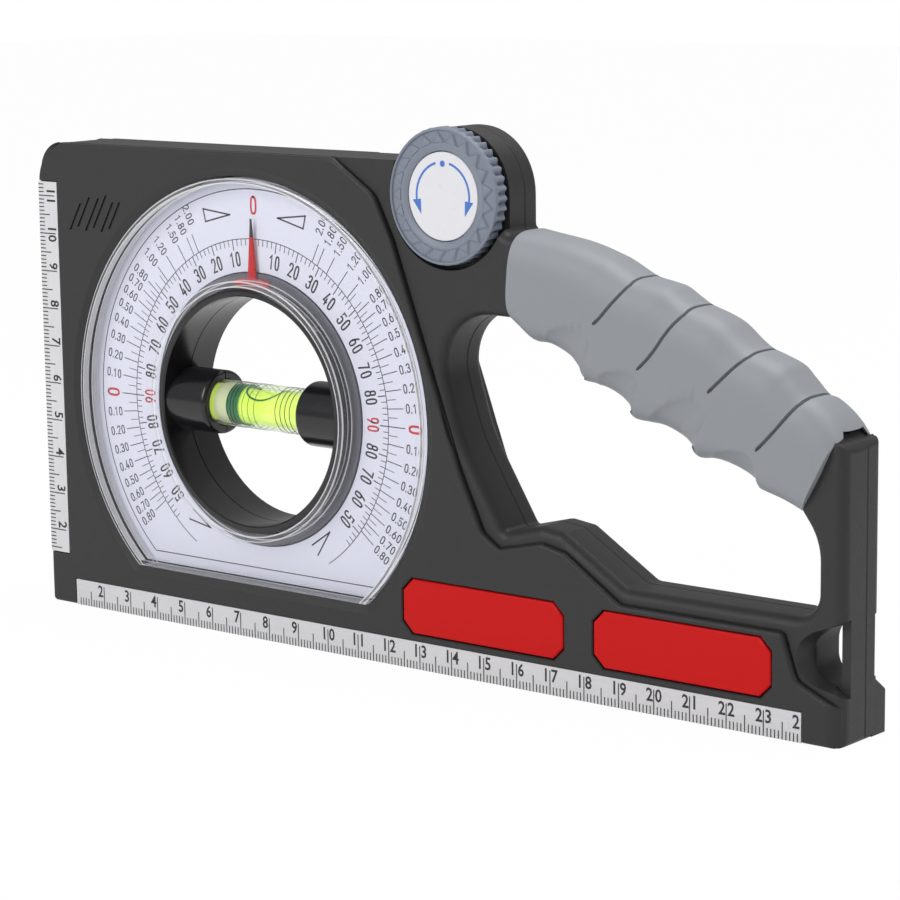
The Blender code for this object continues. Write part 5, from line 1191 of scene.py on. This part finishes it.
# Grip sleeve: soft grey rubber moulded round the handle's core, in five swells with a crease
# between each two, and four finger hollows underneath.
SLEEVE_TOP = [(159.3, 109), (161.9, 108.6), (173.6, 106.8), (182.4, 104.3), (185.2, 103.2), (191.4, 100.2),
              (196.5, 99.1), (200.1, 98.3), (203.4, 96.4), (206.7, 94.6), (211.7, 93), (215.8, 91.2),
              (219.8, 88.1), (223, 86), (226.5, 84.8), (231.2, 83), (233.9, 80.5), (237.6, 77),
              (240.2, 76.2), (243.5, 74), (245.7, 71.9), (247, 70.2), (248, 68.6), (250, 66.4)]
SLEEVE_FOOT = [(157.4, 87.4), (159.5, 85.8), (163.2, 83.2), (166.8, 82.9), (170.4, 81.3), (173.3, 79.5),
               (176.2, 76.7), (177.3, 75), (180.8, 74.5), (184.2, 73.4), (187.5, 71.6), (190.3, 69.4),
               (191.7, 67.4), (196, 67), (199.8, 66.3), (204.8, 64.1), (207.5, 62.1), (209.5, 60.3),
               (213.5, 60.5), (218.4, 59.2), (222.4, 57.6), (224.8, 56.3), (225.9, 55), (232.5, 53.1),
               (238, 51), (241.5, 49.4)]
CREASES = [[(183.2, 89.3), (185.3, 91.1), (188, 94.1), (190, 96.4), (191.4, 98.3)],
           [(195.5, 79.9), (198.2, 82.3), (200.6, 85), (202.8, 88.1), (204.5, 90.4), (206.6, 93)],
           [(214.9, 76.4), (218.3, 79.6), (221.2, 82.5), (223.3, 84.6)],
           [(227.6, 64.6), (229.9, 66.8), (232.7, 69.7), (234.9, 72.3), (237.2, 75.4)]]
HOLLOWS = [[(166, 82), (168.7, 85.1), (170.4, 86.7), (173.9, 87.9), (178.2, 88.3), (180.8, 87.6),
            (181.9, 86.1), (181.9, 84.2), (180.5, 81.3), (179.3, 79.2), (178.6, 75)],
           [(181, 73.5), (183.6, 76.3), (184.7, 77.7), (188.1, 78.8), (191.5, 79.3), (193.7, 78.9),
            (195.4, 77.6), (195.4, 76), (194, 73.1), (193, 69)],
           [(195.5, 66.5), (198.4, 69.4), (202, 71.8), (206.1, 74), (210.2, 74.9), (213.2, 74.6),
            (214.6, 73.4), (214, 70.4), (212.1, 67.5), (210, 62)],
           [(212.5, 59.5), (215.4, 62.1), (217.3, 63.2), (221, 63.8), (223.7, 63.8), (225.8, 62.8),
            (227.1, 61.2), (227.4, 59.4), (226.5, 55)]]
SLEEVE_MIDDLE, SLEEVE_HALF, SLEEVE_POWER = 9.15, 9.62, 3.2
SECTIONS = [(through(SLEEVE_TOP, step / 220), through(SLEEVE_FOOT, step / 220)) for step in range(221)]
HOLLOW_EDGES = [[through(arc, step / 40) for step in range(41)] for arc in HOLLOWS]


def hollow_depth(place):
    """How far a finger hollow draws the skin in at a place, deepening smoothly from its edge."""
    for edge in HOLLOW_EDGES:
        inside = False
        for first, second in zip(edge, edge[1:] + edge[:1]):
            if (first.y > place.y) != (second.y > place.y):
                rise = (place.y - first.y) / (second.y - first.y)
                inside = inside != (place.x < (second.x - first.x) * rise + first.x)
        if inside:
            reach = min((spot - place).length for spot in edge)
            return 0.35 * (1 - math.exp(-reach / 0.3)) + 1.5 * (1 - math.exp(-reach / 3))
    return 0.0


def section_at(place):
    """The sleeve's section through a place of its side view, and how high the place lies in it."""
    def miss(section):
        along = (section[0] - section[1]).normalized()
        offset = place - section[1]
        return abs(along.x * offset.y - along.y * offset.x)
    top, foot = min(SECTIONS, key=miss)
    return top, foot, 2 * (place - (top + foot) / 2).dot((top - foot).normalized()) / (top - foot).length


def skin_spot(top, foot, rise, side):
    """A point of the sleeve's skin and the direction away from it."""
    half = (top - foot) / 2
    across = side * max(0.0, 1 - min(1, abs(rise)) ** SLEEVE_POWER) ** (1 / SLEEVE_POWER)
    lift = math.copysign(abs(rise) ** (SLEEVE_POWER - 1), rise) * half.normalized() / half.length
    away = Vector((lift.x, math.copysign(abs(across) ** (SLEEVE_POWER - 1), side) / SLEEVE_HALF, lift.y))
    return Vector((top.x - half.x + half.x * rise, SLEEVE_MIDDLE + SLEEVE_HALF * across,
                   top.y - half.y + half.y * rise)), away.normalized()


def sleeve_ring(top, foot, steps=120):
    """One section of the sleeve, a soft-cornered oval drawn in by the finger hollows."""
    ring = []
    for step in range(steps):
        angle = math.tau * step / steps
        rise = math.copysign(abs(math.cos(angle)) ** (2 / SLEEVE_POWER), math.cos(angle))
        side = math.copysign(abs(math.sin(angle)) ** (2 / SLEEVE_POWER), math.sin(angle))
        place = (top + foot) / 2 + (top - foot) / 2 * rise
        draw = hollow_depth(place) * min(1, abs(side) * 1.6) if rise < 0.2 else 0
        ring.append((place.x, SLEEVE_MIDDLE + side * SLEEVE_HALF - math.copysign(draw, side), place.y))
    return ring


sleeve = loft("grip_rubber", [sleeve_ring(top, foot) for top, foot in SECTIONS])
for crease in CREASES:
    up = []
    for step in range(25):
        place = through(crease, step / 24)
        spot, away = skin_spot(*section_at(place), -1)
        up.append((Vector((place.x, spot.y, place.y)), away))
    top, foot, rise = section_at(through(crease, 1))
    lean = math.acos(rise ** (SLEEVE_POWER / 2))
    over = []
    for step in range(1, 24):
        angle = lean * (1 - step / 12)
        over.append(skin_spot(top, foot, math.cos(angle) ** (2 / SLEEVE_POWER), math.copysign(1, -angle)))
    down = [(Vector((spot.x, 2 * SLEEVE_MIDDLE - spot.y, spot.z)), Vector((away.x, -away.y, away.z)))
            for spot, away in reversed(up)]
    path = up + over + down
    rings = []
    for index, (spot, away) in enumerate(path):
        ahead = path[min(index + 1, len(path) - 1)][0] - path[max(index - 1, 0)][0]
        side = ahead.cross(away).normalized()
        end = min(1, 0.3 + 0.5 * min(index, len(path) - 1 - index))
        rings.append([tuple(spot + side * across * end + away * height) for across, height in
                      ((-0.5, 1), (0.5, 1), (0.42, -0.1), (0.36, -0.8 * end), (0, -1.2 * end),
                       (-0.36, -0.8 * end), (-0.42, -0.1))])
    carve(sleeve, loft("crease", rings))
end_side = [*POST_SEAM, (247.4, 85), (262, 85), (262, 40), (237.3, 40)]
carve(sleeve, prism("sleeve_end", [(-4, 0), (24, 0)], lambda inset: end_side))
carve(sleeve, handle_core("sleeve_bore", 0.1))
rubber = moulded("grip_rubber", (0.285, 0.3, 0.325), 0.5, 0.35, 0.02, clouds=0.035, specular=0.4)
dress(soften(sleeve, 40), rubber, "housing", "grip", "grip_sleeve")

# Studio: a pale floor, soft lamps and the camera of the photograph.
builder = bmesh.new()
bmesh.ops.create_grid(builder, x_segments=1, y_segments=1, size=3.0)
floor = moulding("floor", builder)
backdrop, tree = paint("studio_floor")
tree.fill("Base Color", (0.8, 0.8, 0.8, 1))
tree.fill("Roughness", 0.9)
seen, mirrored, refracted = (tree.node("ShaderNodeLightPath", output=f"Is {kind} Ray")
                             for kind in ("Camera", "Glossy", "Transmission"))
glow = tree.node("ShaderNodeEmission", None, {"Color": (1, 1, 1, 1), "Strength": 1.0})
tree.cover((seen + mirrored + refracted) * 0.98, glow, True)
floor.data.materials.append(backdrop)

world = bpy.data.worlds.new("studio")
bpy.context.scene.world = world
world.use_nodes = True
tree = Nodes(world.node_tree)
seen, refracted = (tree.node("ShaderNodeLightPath", output=f"Is {kind} Ray")
                   for kind in ("Camera", "Transmission"))
strength = seen.math("MINIMUM", seen + refracted, 1.0) * 0.62 + 0.38
sky = world.node_tree.nodes["Background"]
world.node_tree.links.new(strength.socket, sky.inputs["Strength"])
sky.inputs["Color"].default_value = (1, 1, 1, 1)


def lamp(name, place, aim, size, power):
    """A soft square lamp that faces a point."""
    data = bpy.data.lights.new(name, "AREA")
    data.size, data.energy = size, power
    item = added(name, data)
    item.location = place
    item.rotation_mode = "QUATERNION"
    item.rotation_quaternion = (Vector(aim) - Vector(place)).to_track_quat("-Z", "Y")


lamp("key", (-0.35, -0.9, 0.6), (0, 0, 0.06), 0.6, 5.6)
lamp("top", (0.1, 0.2, 0.9), (0, 0, 0.06), 0.6, 5)
lamp("side", (0.9, 0.1, 0.6), (0.1, 0, 0.06), 0.3, 1.6)

camera_data = bpy.data.cameras.new("camera")
camera_data.lens, camera_data.sensor_width = 119.56, 36
camera_data.clip_start, camera_data.clip_end = 0.01, 20
camera = added("camera", camera_data)
azimuth, elevation, roll = (math.radians(angle) for angle in (39.545, 10.1235, -0.7567))
back = Vector((math.sin(azimuth) * math.cos(elevation), -math.cos(azimuth) * math.cos(elevation),
               math.sin(elevation)))
right = (-back).cross(Vector((0, 0, 1))).normalized()
above = right.cross(-back)
tilted = right * math.cos(roll) + above * math.sin(roll)
upright = above * math.cos(roll) - right * math.sin(roll)
camera.matrix_world = Matrix(((tilted.x, upright.x, back.x, 0.462896),
                              (tilted.y, upright.y, back.y, -0.551879),
                              (tilted.z, upright.z, back.z, 0.181302), (0, 0, 0, 1)))
bpy.context.scene.camera = camera
bpy.context.scene.view_settings.view_transform = "Standard"
